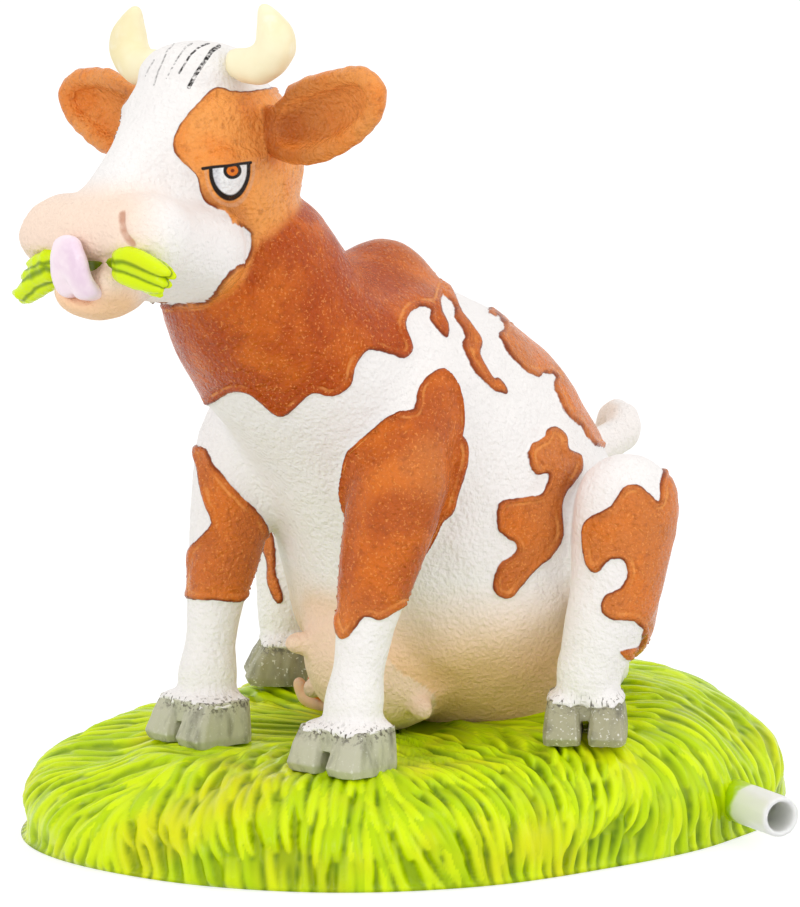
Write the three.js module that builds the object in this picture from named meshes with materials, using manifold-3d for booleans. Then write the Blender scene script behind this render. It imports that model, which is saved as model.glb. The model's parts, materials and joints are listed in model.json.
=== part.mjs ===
// Cow aquarium ornament: a seated cow of cast resin, glued up from separate castings, on a grass mound.
// An air line enters the side of the mound, runs up inside the trunk and ends in the rump below the tail.
// Units are millimetres and +Z is up. The cow faces -Y, its left side is +X.
// The origin is the middle of the mound's flat underside.

import * as THREE from "three";
import { mergeVertices } from "three/addons/utils/BufferGeometryUtils.js";
import Module from "manifold-3d";

const wasm = await Module();
wasm.setup();

// Glue joints
const GLUE_GAP = 0.3; // glue line left between two castings
const PEG_RADIUS = 2; // locating pegs of the large castings
const PEG_LENGTH = 4;
const PIN_RADIUS = 1; // locating pins of the small castings
const PIN_LENGTH = 2.5;

// Grass mound
// outline every 30 degrees from +X
const BASE_RADII = [39, 45, 54, 49.5, 44, 42, 44, 49, 51.5, 47.5, 43.5, 40];
const BASE_TOP = 13.6; // height of the turf under the hooves
const BASE_RIM = 3.5; // height of the upright edge
const BASE_PLATEAU = 27; // radius of the level turf in the middle
const REAR_RISE = 6.2; // extra height of the turf behind the cow
const RISE_RUN = 34; // how far behind the origin the turf is highest
const BLADE_COUNT = 28; // grass ridges round the shoulder
const BLADE_DEPTH = 1.3;
const TUFT_HEIGHT = 1.2; // from groove to crest on the level turf
const SHOULDER_POWER = 2.3; // 2 is a quarter ellipse, more is squarer
const SHOULDER_RINGS = [90, 62, 30]; // degrees from the top of the shoulder
const LEVEL_RINGS = [1, 0.78, 0.54, 0.3]; // shares of the level turf's radius

// Trunk and neck: places are in the middle plane, heights are above the turf
const RUMP_BACK = 19;
const RUMP_HEIGHT = 7;
const RUMP_WIDTH = 40;
const RUMP_DEPTH = 34;
const BELLY_BACK = 12;
const BELLY_HEIGHT = 21;
const BELLY_WIDTH = 48;
const BELLY_DEPTH = 49;
const BARREL_BACK = 4;
const BARREL_HEIGHT = 36;
const BARREL_WIDTH = 45;
const BARREL_DEPTH = 45.4;
const CHEST_FRONT = 8;
const CHEST_HEIGHT = 47;
const CHEST_WIDTH = 38;
const CHEST_DEPTH = 36;
const NECK_ROOT_FRONT = 21.3;
const NECK_ROOT_HEIGHT = 55;
const NECK_ROOT_WIDTH = 32;
const NECK_ROOT_DEPTH = 25.4;
const NECK_FRONT = 29.7;
const NECK_HEIGHT = 67;
const NECK_WIDTH = 24;
const NECK_DEPTH = 24;
const SEAT_SINK = 1; // how far the flat seat stands in the turf
const WITHERS_BACK = -3.5; // the hump above the shoulders
const WITHERS_HEIGHT = 54.8;
const WITHERS_LENGTH = 18;
const WITHERS_WIDTH = 18;
const WITHERS_DEPTH = 25;

// Head: places are before it leans and turns about a pivot in the middle plane, and heights are above
// its own level, as they are for the horns and the ears
const HEAD_HEIGHT = 60; // that level, just under the chin, above the turf
const HEAD_LEAN = 6; // degrees to its right
const HEAD_TURN = 3.5; // degrees to its right
const PIVOT_FRONT = 33;
const PIVOT_HEIGHT = 16;
const POLL_FRONT = 33;
const POLL_HEIGHT = 22;
const POLL_WIDTH = 21;
const POLL_DEPTH = 25;
const BROW_FRONT = 37.5;
const BROW_HEIGHT = 19.5;
const BROW_WIDTH = 21.6;
const BROW_DEPTH = 26;
const BRIDGE_FRONT = 45;
const BRIDGE_HEIGHT = 16;
const BRIDGE_WIDTH = 11.4;
const BRIDGE_DEPTH = 19;
const NOSE_WIDTH = 13; // where the face meets the muzzle
const MUZZLE_FRONT = 53;
const MUZZLE_HEIGHT = 12.1;
const MUZZLE_WIDTH = 31;
const MUZZLE_DEPTH = 11.6;
const MUZZLE_LENGTH = 13;
const MUZZLE_SWEEP = 0.3; // how far its corners are swept back
const CHIN_FRONT = 1.5; // ahead of the muzzle's middle
const CHIN_HEIGHT = 6.2;
const CHIN_WIDTH = 13;
const CHIN_DEPTH = 10;
const CHIN_LENGTH = 14;
const JAW_FRONT = 42; // rear end of the cheeks
const JAW_HEIGHT = 9.2;
const JAW_WIDTH = 25.6;
const JAW_DEPTH = 14;
const CHEEK_INSET = 1.2; // muzzle's corners beyond the cheeks
const FORELOCK_FRONT = 36; // the hair between the horns
const FORELOCK_HEIGHT = 32;
const FORELOCK_WIDTH = 18;
const FORELOCK_LENGTH = 14;
const FORELOCK_DEPTH = 9;
const EYE_SPREAD = 16.8; // between the eyes
const EYE_FRONT = 39.9;
const EYE_HEIGHT = 18.1;
const EYE_SIZE = 5.4;
const LID_THICKNESS = 2.4;
const LID_SHARE = 0.35; // how far up the eyeball the lid comes down
const NOSTRIL_SPREAD = 18;
const NOSTRIL_HEIGHT = 13.9;
const NOSTRIL_LENGTH = 4.2;
const NOSTRIL_WIDTH = 1.1;
const NOSTRIL_SLANT = 14; // degrees, lower end outwards
const NOSTRIL_TURN = 30;

// Horns and ears
const HORN_SPREAD = 30.2; // between the outer bends
const HORN_FRONT = 36;
const HORN_ROOT_HEIGHT = 32.1;
const HORN_RISE = 8.1; // root to tip
const HORN_REACH = 8; // how far it grows outwards before it turns up
const HORN_SWEEP = 1.4; // how far it is swept back on the way
const HORN_CURL = 2.1; // how far the tip turns in again
const HORN_RADIUS = 2.5;
const HORN_TIP_RADIUS = 0.8;
const EAR_SPREAD = 41.6; // between the middles of the ears
const EAR_FRONT = 32.5;
const EAR_HEIGHT = 25.9;
const EAR_LENGTH = 24;
const EAR_WIDTH = 10.7;
const EAR_THICKNESS = 5.4;
const EAR_WALL = 1.1; // rim round the hollow
const EAR_RISE = 17; // degrees that the tips are lifted
const EAR_TURN = 2; // degrees that the tips are turned back

// Tongue and the grass in the mouth
const TONGUE_WIDTH = 8.6;
const TONGUE_THICKNESS = 2;
const TONGUE_RISE = 4.4; // tip above the mouth
const TONGUE_ROOT = 5; // length inside the lips
const TONGUE_DIP = 3; // how far it sags over the lower lip
const TONGUE_LIFT = 1.2; // how far it stands off the upper lip
const TONGUE_TAPER = 0.6; // width of the tip, of the root's
const TONGUE_SIDE = 1.4; // towards the cow's left
const WISP_REACH = 16; // to each side of its middle
const WISP_SIDE = 2.2; // towards the cow's left
const WISP_INSET = 1.9; // middle of the bunch behind the lips
const WISP_SWEEP = 2.4; // how far its ends are swept back
const WISP_THICKNESS = 2.3;
const WISP_HEIGHT = 2;
const WISP_TIP_HEIGHT = 6.2;
const WISP_DROOP = 1.8; // how far the ends hang

// Forelegs
const FORE_STANCE = 27.4; // between the hooves
const FORE_REACH = 24.5; // hooves ahead of the origin
const SHOULDER_SPREAD = 30;
const SHOULDER_FRONT = 15;
const SHOULDER_HEIGHT = 41;
const SHOULDER_RADIUS = 6.8;
const KNEE_HEIGHT = 20;
const KNEE_RADIUS = 4.4;
const SHANK_HEIGHT = 13;
const SHANK_RADIUS = 3.6;
const FETLOCK_RADIUS = 4.9;

// Hind legs, knees drawn up beside the belly
const HIND_STANCE = 57;
const HIND_REACH = 6.4; // hooves behind the origin
const HIP_SPREAD = 26;
const HIP_BACK = 21;
const HIP_HEIGHT = 14;
const HIP_RADIUS = 11;
const STIFLE_SPREAD = 59;
const STIFLE_BACK = 13;
const STIFLE_HEIGHT = 32.4;
const STIFLE_RADIUS = 7.3;
const SHIN_SPREAD = 60;
const SHIN_RADIUS = 6;
const HOCK_RADIUS = 5;

// Hooves
const HOOF_HEIGHT = 6;
const HOOF_WIDTH = 12.6;
const HOOF_LENGTH = 10.2;
const HIND_HOOF_WIDTH = 11.4;
const HIND_HOOF_LENGTH = 11.8;
const CORONET_SHARE = 0.36; // radius of the hoof's top, of its width
const HOOF_POWER = 5; // 2 is an oval claw, more is squarer
const HOOF_CLEFT = 0.6;
const HOOF_SINK = 0.5; // how far the soles stand in the turf
const FORE_TOE_OUT = 6; // degrees
const HIND_TOE_OUT = 42;

// Udder and tail
const UDDER_FRONT = 2.5;
const UDDER_HEIGHT = 11;
const UDDER_RADIUS = 11.5;
const TEAT_LENGTH = 3.4;
const TEAT_RADIUS = 1.9;
const TAIL_RADIUS = 2;
const TAIL_RISE = 4.2; // height of the arch above the tail's root
const TAIL_REACH = 12.2; // how far the arch stands behind its root
const TAIL_SWING = 7; // how far it hangs to the cow's right
const TUFT_LENGTH = 16; // its end touches the turf
const TUFT_RADIUS = 3.1;

// Snail in the grass between the legs
const SNAIL_SIDE = 14.4;
const SNAIL_FRONT = 0.6;
const SNAIL_SHELL = 5.4;
const SNAIL_SHELL_WIDTH = 3.4;
const SNAIL_LENGTH = 8;
const SNAIL_RADIUS = 1.3;

// Air line
const LINE_DIAMETER = 6;
const LINE_BORE = 4;
const LINE_HEIGHT = 5; // middle of the line above the underside
const STUB_LENGTH = 12; // free length outside the mound
const LINE_PLACE = 34; // degrees round the mound from +X
const LINE_HEADING = -17; // degrees from +X that the stub points

const TURN = Math.PI * 2;
const RADIAN = Math.PI / 180;
const LEFT = 1;
const RIGHT = -1;
const ACROSS = new THREE.Vector3(1, 0, 0);

const point = (x, y, z) => new THREE.Vector3(x, y, z);
const onCow = (x, y, height) => point(x, y, BASE_TOP + height);
const turned = (roll, rise, turn) =>
  new THREE.Quaternion().setFromEuler(new THREE.Euler(roll * RADIAN, rise * RADIAN, turn * RADIAN, "ZYX"));
const HEAD_POSE = turned(0, -HEAD_LEAN, -HEAD_TURN);
const HEAD_PIVOT = onCow(0, -PIVOT_FRONT, HEAD_HEIGHT + PIVOT_HEIGHT);
const onHead = (x, y, height) => {
  const arm = onCow(x, y, HEAD_HEIGHT + height).sub(HEAD_PIVOT);
  return arm.applyQuaternion(HEAD_POSE).add(HEAD_PIVOT);
};
const turf = (y) => BASE_TOP + REAR_RISE * THREE.MathUtils.smoothstep(y, -RISE_RUN / 4, RISE_RUN);

// Solids

function solid(geometry) {
  const bare = new THREE.BufferGeometry();
  bare.setAttribute("position", geometry.getAttribute("position"));
  bare.setIndex(geometry.getIndex());
  const welded = mergeVertices(bare, 1e-4);
  return new wasm.Manifold(
    new wasm.Mesh({
      numProp: 3,
      vertProperties: new Float32Array(welded.getAttribute("position").array),
      triVerts: new Uint32Array(welded.getIndex().array),
    }),
  );
}

const join = (...solids) => solids.reduce((whole, next) => whole.add(next));
const cut = (body, ...tools) => tools.reduce((rest, tool) => rest.subtract(tool), body);

// A skin over rings of points, with a pole at each end.
function skin(rings, firstPole, lastPole) {
  const sides = rings[0].length;
  const points = [...rings.flat(), firstPole, lastPole];
  const first = points.length - 2;
  const last = points.length - 1;
  const faces = [];
  for (let side = 0; side < sides; side += 1) {
    const next = (side + 1) % sides;
    const end = (rings.length - 1) * sides;
    faces.push(first, next, side, last, end + side, end + next);
    for (let ring = 0; ring < rings.length - 1; ring += 1) {
      const a = ring * sides;
      const b = a + sides;
      faces.push(a + side, a + next, b + next, a + side, b + next, b + side);
    }
  }
  const geometry = new THREE.BufferGeometry().setFromPoints(points);
  geometry.setIndex(faces);
  return solid(geometry);
}

// A sine or cosine for drawing ovals: a `power` above 2 makes them squarer.
const squared = (value, power) => Math.sign(value) * Math.abs(value) ** (2 / power);

// A limb along stations {at, wide, deep}: oval sections with rounded or flat ends.
// `across` is the direction of the wide axis, `grow` adds a skin all round for cutting a seat,
// and a `power` above 2 makes the sections squarer.
function limb(stations, options = {}) {
  const { grow = 0, across = ACROSS, steps = 2, sides = 12, power = 2 } = options;
  const { flatStart = false, flatEnd = false } = options;
  const path = new THREE.CatmullRomCurve3(stations.map((station) => station.at), false, "centripetal");
  const spans = stations.length - 1;
  const ring = (centre, direction, wide, deep) => {
    const side = across.clone().addScaledVector(direction, -across.dot(direction)).normalize();
    const up = direction.clone().cross(side);
    return Array.from({ length: sides }, (_, index) => {
      const angle = (TURN * index) / sides;
      const outward = side.clone().multiplyScalar(wide * squared(Math.cos(angle), power));
      return outward.addScaledVector(up, deep * squared(Math.sin(angle), power)).add(centre);
    });
  };
  const station = (along) => {
    const before = Math.min(Math.floor(along), spans - 1);
    const share = along - before;
    const eased = share * share * (3 - 2 * share);
    const ends = [stations[before], stations[before + 1]];
    const mix = (key) => THREE.MathUtils.lerp(ends[0][key], ends[1][key], eased) + grow;
    const at = path.getPoint(along / spans);
    return { at, direction: path.getTangent(along / spans), wide: mix("wide"), deep: mix("deep") };
  };
  const rings = [];
  const cap = (along, sign, flat) => {
    const { at, direction, wide, deep } = station(along);
    const reach = flat ? grow : Math.min(wide, deep);
    const pole = at.clone().addScaledVector(direction, sign * reach);
    if (flat) return { pole, rings: [ring(pole, direction, wide, deep)] };
    const bands = [60, 30].map((angle) => {
      const centre = at.clone().addScaledVector(direction, sign * reach * Math.sin(angle * RADIAN));
      return ring(centre, direction, wide * Math.cos(angle * RADIAN), deep * Math.cos(angle * RADIAN));
    });
    return { pole, rings: bands };
  };
  const start = cap(0, -1, flatStart);
  const end = cap(spans, 1, flatEnd);
  rings.push(...start.rings);
  for (let step = flatStart ? 1 : 0; step <= spans * steps - (flatEnd ? 1 : 0); step += 1) {
    const { at, direction, wide, deep } = station(step / steps);
    rings.push(ring(at, direction, wide, deep));
  }
  rings.push(...end.rings.reverse());
  return skin(rings, start.pole, end.pole);
}

// An egg with half-axes `radii`.
function egg(at, radii, { pose, grow = 0, sides = 16, bands = 10 } = {}) {
  const geometry = new THREE.SphereGeometry(1, sides, bands);
  geometry.scale(radii[0] + grow, radii[1] + grow, radii[2] + grow);
  if (pose) geometry.applyQuaternion(pose);
  geometry.translate(at.x, at.y, at.z);
  return solid(geometry);
}

// A round peg from `from` to `to`.
function peg(from, to, radius, sides = 8) {
  const length = from.distanceTo(to);
  const geometry = new THREE.CylinderGeometry(radius, radius, length, sides);
  const aim = new THREE.Quaternion().setFromUnitVectors(point(0, 1, 0), to.clone().sub(from).normalize());
  geometry.applyQuaternion(aim);
  const middle = from.clone().lerp(to, 0.5);
  geometry.translate(middle.x, middle.y, middle.z);
  return solid(geometry);
}

// The socket for a peg: deeper and wider than the peg by the glue gap.
function socket(from, to, radius) {
  const deeper = to.clone().add(to.clone().sub(from).setLength(GLUE_GAP));
  return peg(from, deeper, radius + GLUE_GAP);
}

const oval = (at, width, depth) => ({ at, wide: width / 2, deep: depth / 2 });
const round = (at, radius) => ({ at, wide: radius, deep: radius });

// Everything above a level
function above(level) {
  const size = 400;
  const geometry = new THREE.BoxGeometry(size, size, size);
  geometry.translate(0, 0, level + size / 2);
  return solid(geometry);
}

// Trunk with neck

function trunk(grow = 0) {
  const stations = [
    oval(onCow(0, RUMP_BACK, RUMP_HEIGHT), RUMP_WIDTH, RUMP_DEPTH),
    oval(onCow(0, BELLY_BACK, BELLY_HEIGHT), BELLY_WIDTH, BELLY_DEPTH),
    oval(onCow(0, BARREL_BACK, BARREL_HEIGHT), BARREL_WIDTH, BARREL_DEPTH),
    oval(onCow(0, -CHEST_FRONT, CHEST_HEIGHT), CHEST_WIDTH, CHEST_DEPTH),
    oval(onCow(0, -NECK_ROOT_FRONT, NECK_ROOT_HEIGHT), NECK_ROOT_WIDTH, NECK_ROOT_DEPTH),
    oval(onCow(0, -NECK_FRONT, NECK_HEIGHT), NECK_WIDTH, NECK_DEPTH),
  ];
  const withersRadii = [WITHERS_WIDTH / 2, WITHERS_LENGTH / 2, WITHERS_DEPTH / 2];
  const withers = egg(onCow(0, WITHERS_BACK, WITHERS_HEIGHT), withersRadii, { grow, sides: 12, bands: 8 });
  const body = join(limb(stations, { grow, sides: 20 }), withers);
  return body.intersect(above(BASE_TOP - SEAT_SINK - grow));
}

// Head

const HEAD_ACROSS = ACROSS.clone().applyQuaternion(HEAD_POSE);
const forelockAt = onHead(0, -FORELOCK_FRONT, FORELOCK_HEIGHT);
const eyeAt = (side) => onHead((side * EYE_SPREAD) / 2, -EYE_FRONT, EYE_HEIGHT);

// An egg of full size `size` that sits on the head.
function headEgg(at, size, { turn = [0, 0, 0], ...options }) {
  const radii = size.map((length) => length / 2);
  const pose = HEAD_POSE.clone().multiply(turned(...turn));
  return egg(at, radii, { bands: 8, ...options, pose });
}

function skull(grow = 0) {
  const stations = [
    oval(onHead(0, -POLL_FRONT, POLL_HEIGHT), POLL_WIDTH, POLL_DEPTH),
    oval(onHead(0, -BROW_FRONT, BROW_HEIGHT), BROW_WIDTH, BROW_DEPTH),
    oval(onHead(0, -BRIDGE_FRONT, BRIDGE_HEIGHT), BRIDGE_WIDTH, BRIDGE_DEPTH),
    oval(onHead(0, -MUZZLE_FRONT, MUZZLE_HEIGHT), NOSE_WIDTH, MUZZLE_DEPTH),
  ];
  const corner = (MUZZLE_WIDTH - MUZZLE_LENGTH) / 2;
  const muzzle = [-corner, 0, corner].map((x) => {
    const front = MUZZLE_FRONT - (x === 0 ? 0 : MUZZLE_SWEEP);
    return oval(onHead(x, -front, MUZZLE_HEIGHT), MUZZLE_LENGTH, MUZZLE_DEPTH);
  });
  const cheeks = [
    oval(onHead(0, -JAW_FRONT, JAW_HEIGHT), JAW_WIDTH, JAW_DEPTH),
    oval(onHead(0, -MUZZLE_FRONT, MUZZLE_HEIGHT), MUZZLE_WIDTH - CHEEK_INSET * 2, MUZZLE_DEPTH),
  ];
  const chinAt = onHead(0, -MUZZLE_FRONT - CHIN_FRONT, CHIN_HEIGHT);
  return join(
    limb(stations, { grow, across: HEAD_ACROSS, sides: 18, power: 2.4 }),
    limb(cheeks, { grow, across: HEAD_ACROSS, sides: 18, power: 2.4 }),
    limb(muzzle, { grow, across: point(0, 1, 0) }),
    headEgg(chinAt, [CHIN_WIDTH, CHIN_LENGTH, CHIN_DEPTH], { grow, sides: 12 }),
    headEgg(forelockAt, [FORELOCK_WIDTH, FORELOCK_LENGTH, FORELOCK_DEPTH], { grow, sides: 12 }),
  );
}

// The eyeball and the heavy lid over its upper half.
function eye(side) {
  const at = eyeAt(side);
  const ball = headEgg(at, [EYE_SIZE, EYE_SIZE, EYE_SIZE], { sides: 8, bands: 5 });
  const lidAt = at.clone().add(point(0, 0, EYE_SIZE * LID_SHARE));
  const lidSize = [EYE_SIZE + LID_THICKNESS / 2, EYE_SIZE + LID_THICKNESS / 2, LID_THICKNESS * 2];
  return join(ball, headEgg(lidAt, lidSize, { sides: 8, bands: 5 }));
}

function nostril(side) {
  const front = MUZZLE_FRONT - MUZZLE_SWEEP + MUZZLE_LENGTH / 2;
  const at = onHead((side * NOSTRIL_SPREAD) / 2, -front, NOSTRIL_HEIGHT);
  const turn = [0, -side * NOSTRIL_SLANT, side * NOSTRIL_TURN];
  return headEgg(at, [NOSTRIL_WIDTH, NOSTRIL_WIDTH * 2, NOSTRIL_LENGTH], { turn, sides: 8, bands: 6 });
}

// Horns and ears

// A horn grows sideways out of the head, turns up and ends in a tip that curls in.
function horn(side, grow = 0) {
  const outer = HORN_SPREAD / 2;
  const at = (inward, sweep, rise) =>
    onHead(side * (outer - inward), HORN_SWEEP * sweep - HORN_FRONT, HORN_ROOT_HEIGHT + HORN_RISE * rise);
  const stations = [
    round(at(HORN_REACH, 0, 0.16), HORN_RADIUS * 0.7),
    round(at(HORN_REACH * 0.4, 0.5, 0.08), HORN_RADIUS),
    round(at(0, 1, 0.37), HORN_RADIUS),
    round(at(HORN_CURL * 0.2, 1, 0.63), HORN_RADIUS * 0.9),
    round(at(HORN_CURL, 1, 1), HORN_TIP_RADIUS),
  ];
  return limb(stations, { grow, across: point(0, 1, 0), sides: 10 });
}

const earTurn = (side) => [0, -side * EAR_RISE, side * EAR_TURN];
const earAt = (side) => onHead((side * EAR_SPREAD) / 2, -EAR_FRONT, EAR_HEIGHT);

function ear(side, grow = 0) {
  const size = [EAR_LENGTH, EAR_THICKNESS, EAR_WIDTH];
  return headEgg(earAt(side), size, { turn: earTurn(side), grow, sides: 14 });
}

// The bowl of the ear, open to the front.
function earHollow(side) {
  const size = [EAR_LENGTH - EAR_WALL * 4, EAR_THICKNESS + EAR_WALL, EAR_WIDTH - EAR_WALL * 2];
  const forward = point(side * EAR_WALL * 1.6, -EAR_THICKNESS / 2, 0);
  return headEgg(earAt(side).add(forward), size, { turn: earTurn(side), sides: 14 });
}

// Tongue and grass in the mouth

const MOUTH_HEIGHT = (MUZZLE_HEIGHT - MUZZLE_DEPTH / 2 + CHIN_HEIGHT + CHIN_DEPTH / 2) / 2;
const LIP_FRONT = MUZZLE_FRONT + MUZZLE_LENGTH / 2;

// The tongue comes out over the lower lip and licks up over the upper one.
function tongue(grow = 0) {
  const flat = (front, rise, share) => {
    const at = onHead(TONGUE_SIDE, -LIP_FRONT - front, MOUTH_HEIGHT + rise);
    return oval(at, TONGUE_WIDTH * share, TONGUE_THICKNESS);
  };
  const stations = [
    flat(-TONGUE_ROOT, -TONGUE_DIP, 0.4),
    flat(0, -TONGUE_DIP, 1),
    flat(TONGUE_LIFT, TONGUE_RISE * 0.3, 0.85),
    flat(TONGUE_LIFT, TONGUE_RISE - TONGUE_THICKNESS / 2, TONGUE_TAPER),
  ];
  return limb(stations, { grow, across: HEAD_ACROSS });
}

// The opening between the lips that tongue and grass come out of.
function mouth() {
  const size = [TONGUE_WIDTH * 1.3, TONGUE_THICKNESS * 3.2, WISP_HEIGHT * 1.4];
  const at = onHead(TONGUE_SIDE, TONGUE_THICKNESS / 2 - LIP_FRONT, MOUTH_HEIGHT - TONGUE_DIP / 3);
  return headEgg(at, size, { sides: 12, bands: 6 });
}

function grassBunch(grow = 0) {
  const blade = (x, inward, rise, tall) =>
    oval(onHead(WISP_SIDE + x, inward - LIP_FRONT, MOUTH_HEIGHT + rise), WISP_THICKNESS, tall);
  const stations = [
    blade(-WISP_REACH, WISP_SWEEP, -WISP_DROOP, WISP_TIP_HEIGHT),
    blade(-WISP_REACH / 2, WISP_INSET, 0, (WISP_HEIGHT + WISP_TIP_HEIGHT) / 2),
    blade(0, WISP_INSET, 0, WISP_HEIGHT),
    blade(WISP_REACH / 2, WISP_INSET, 0, (WISP_HEIGHT + WISP_TIP_HEIGHT) / 2),
    blade(WISP_REACH, WISP_SWEEP, -WISP_DROOP, WISP_TIP_HEIGHT),
  ];
  return limb(stations, { grow, across: point(0, 1, 0), sides: 10 });
}

// Legs

const foreFoot = (side) => onCow((side * FORE_STANCE) / 2, -FORE_REACH, 0);
const hindFoot = (side) => point((side * HIND_STANCE) / 2, HIND_REACH, turf(HIND_REACH));
const HOOF_TOP = HOOF_HEIGHT - HOOF_SINK;

function foreleg(side, grow = 0) {
  const foot = foreFoot(side);
  const shoulder = onCow((side * SHOULDER_SPREAD) / 2, -SHOULDER_FRONT, SHOULDER_HEIGHT);
  const along = (height, share) => {
    const at = foot.clone().lerp(shoulder, share);
    at.z = BASE_TOP + height;
    return at;
  };
  const stations = [
    round(shoulder.clone().add(point(0, SHOULDER_RADIUS * 0.6, SHOULDER_RADIUS)), SHOULDER_RADIUS * 0.75),
    round(shoulder.clone().add(point(0, 0, -SHOULDER_RADIUS * 0.5)), SHOULDER_RADIUS),
    round(along(KNEE_HEIGHT, 0.45), KNEE_RADIUS),
    round(along(SHANK_HEIGHT, 0.28), SHANK_RADIUS),
    round(along(HOOF_TOP, 0.18), FETLOCK_RADIUS),
  ];
  const leg = limb(stations, { grow, flatEnd: true });
  return leg.intersect(above(BASE_TOP + HOOF_TOP + GLUE_GAP - grow));
}

function hindLeg(side, grow = 0) {
  const foot = hindFoot(side);
  const stifle = onCow((side * STIFLE_SPREAD) / 2, STIFLE_BACK, STIFLE_HEIGHT);
  const hip = onCow((side * HIP_SPREAD) / 2, HIP_BACK, HIP_HEIGHT);
  const shinHeight = (STIFLE_HEIGHT + HOOF_TOP) / 2;
  const shin = onCow((side * SHIN_SPREAD) / 2, (STIFLE_BACK + HIND_REACH) / 2, shinHeight);
  const thighEnds = [round(hip, HIP_RADIUS), round(stifle, STIFLE_RADIUS * 0.85)];
  const thigh = limb(thighEnds, { grow, across: point(0, 1, 0) });
  const shank = limb(
    [
      round(stifle, STIFLE_RADIUS),
      round(shin, SHIN_RADIUS),
      round(foot.clone().add(point(0, 0.6, HOOF_TOP + HOCK_RADIUS * 0.7)), HOCK_RADIUS * 0.92),
      round(foot.clone().add(point(0, 0.4, HOOF_TOP)), HOCK_RADIUS),
    ],
    { grow, flatEnd: true },
  );
  return join(thigh, shank).intersect(above(foot.z + HOOF_TOP + GLUE_GAP - grow));
}

// A cloven hoof: two claws that stand apart in front and share a coronet on top.
function hoof(foot, width, length, toeOut, grow = 0) {
  const levels = [
    { height: -grow, share: 0.95 },
    { height: HOOF_HEIGHT * 0.2, share: 1 },
    { height: HOOF_HEIGHT * 0.6, share: 0.9 },
    { height: HOOF_HEIGHT + grow, share: 0.76 },
  ];
  const placed = (x, y, z) => {
    const spot = point(x, y, z - HOOF_SINK).applyAxisAngle(point(0, 0, 1), toeOut * RADIAN);
    return spot.add(foot);
  };
  const sides = 12;
  const claw = (side) => {
    const offset = (side * (width + HOOF_CLEFT)) / 4;
    const rings = levels.map(({ height, share }) =>
      Array.from({ length: sides }, (_, index) => {
        const angle = (TURN * index) / sides;
        const x = offset + (((width - HOOF_CLEFT) / 4) * share + grow) * squared(Math.cos(angle), HOOF_POWER);
        const heel = (length / 2) * (1 - share);
        const y = heel + ((length / 2) * share + grow) * squared(Math.sin(angle), HOOF_POWER);
        return placed(x, y, height);
      }),
    );
    return skin(rings, placed(offset, 0, levels[0].height), placed(offset, 0, levels.at(-1).height));
  };
  const behind = length * 0.1;
  const middle = placed(0, behind, HOOF_HEIGHT / 2);
  const coronet = peg(middle, placed(0, behind, HOOF_HEIGHT + grow), width * CORONET_SHARE + grow, 14);
  return join(claw(LEFT), claw(RIGHT), coronet);
}

function foreHoof(side, grow = 0) {
  return hoof(foreFoot(side), HOOF_WIDTH, HOOF_LENGTH, side * FORE_TOE_OUT, grow);
}

function hindHoof(side, grow = 0) {
  return hoof(hindFoot(side), HIND_HOOF_WIDTH, HIND_HOOF_LENGTH, side * HIND_TOE_OUT, grow);
}

// Udder and tail

function udder(grow = 0) {
  const middle = onCow(0, -UDDER_FRONT, UDDER_HEIGHT);
  const teat = (x, y, z) => {
    const direction = point(x, y, z).normalize();
    const root = middle.clone().addScaledVector(direction, UDDER_RADIUS * 0.8);
    const tip = middle.clone().addScaledVector(direction, UDDER_RADIUS + TEAT_LENGTH - TEAT_RADIUS);
    return limb([round(root, TEAT_RADIUS), round(tip, TEAT_RADIUS * 0.8)], { grow, sides: 8, steps: 1 });
  };
  const bag = egg(middle, [UDDER_RADIUS, UDDER_RADIUS, UDDER_RADIUS], { grow, sides: 14, bands: 8 });
  const teats = [LEFT, RIGHT].flatMap((side) => [
    teat(side * 0.45, -0.85, 0.1),
    teat(side * 0.8, -0.28, -0.5),
  ]);
  return join(bag, ...teats);
}

const TAIL_ROOT = onCow(0, BELLY_BACK + BELLY_DEPTH * 0.4, BELLY_HEIGHT + BELLY_DEPTH * 0.25);

// The tail stands out of the rump, turns up, folds over to the right and hangs down to the turf.
function tail(grow = 0) {
  const at = (swing, reach, height) => point(-TAIL_SWING * swing, TAIL_ROOT.y + TAIL_REACH * reach, height);
  const stations = [
    round(at(0, -0.3, TAIL_ROOT.z - TAIL_RISE * 0.3), TAIL_RADIUS * 1.2),
    round(at(0, 0.45, TAIL_ROOT.z), TAIL_RADIUS * 1.25),
    round(at(0, 0.95, TAIL_ROOT.z + TAIL_RISE * 0.35), TAIL_RADIUS * 1.3),
    round(at(0.12, 1.05, TAIL_ROOT.z + TAIL_RISE * 0.9), TAIL_RADIUS * 1.1),
    round(at(0.6, 1.15, TAIL_ROOT.z + TAIL_RISE * 0.7), TAIL_RADIUS),
    round(at(0.9, 1.2, TAIL_ROOT.z - TAIL_RISE), TAIL_RADIUS * 0.9),
    round(at(1, 1.15, BASE_TOP + TUFT_LENGTH), TAIL_RADIUS * 0.9),
    round(at(1, 1.15, BASE_TOP + TUFT_LENGTH * 0.4), TUFT_RADIUS),
    round(at(1, 1.2, BASE_TOP), TUFT_RADIUS * 0.5),
  ];
  return limb(stations, { grow, sides: 8 });
}

// Snail

const snailAt = (along, height) => onCow(-SNAIL_SIDE - along, -SNAIL_FRONT, height);

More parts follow.
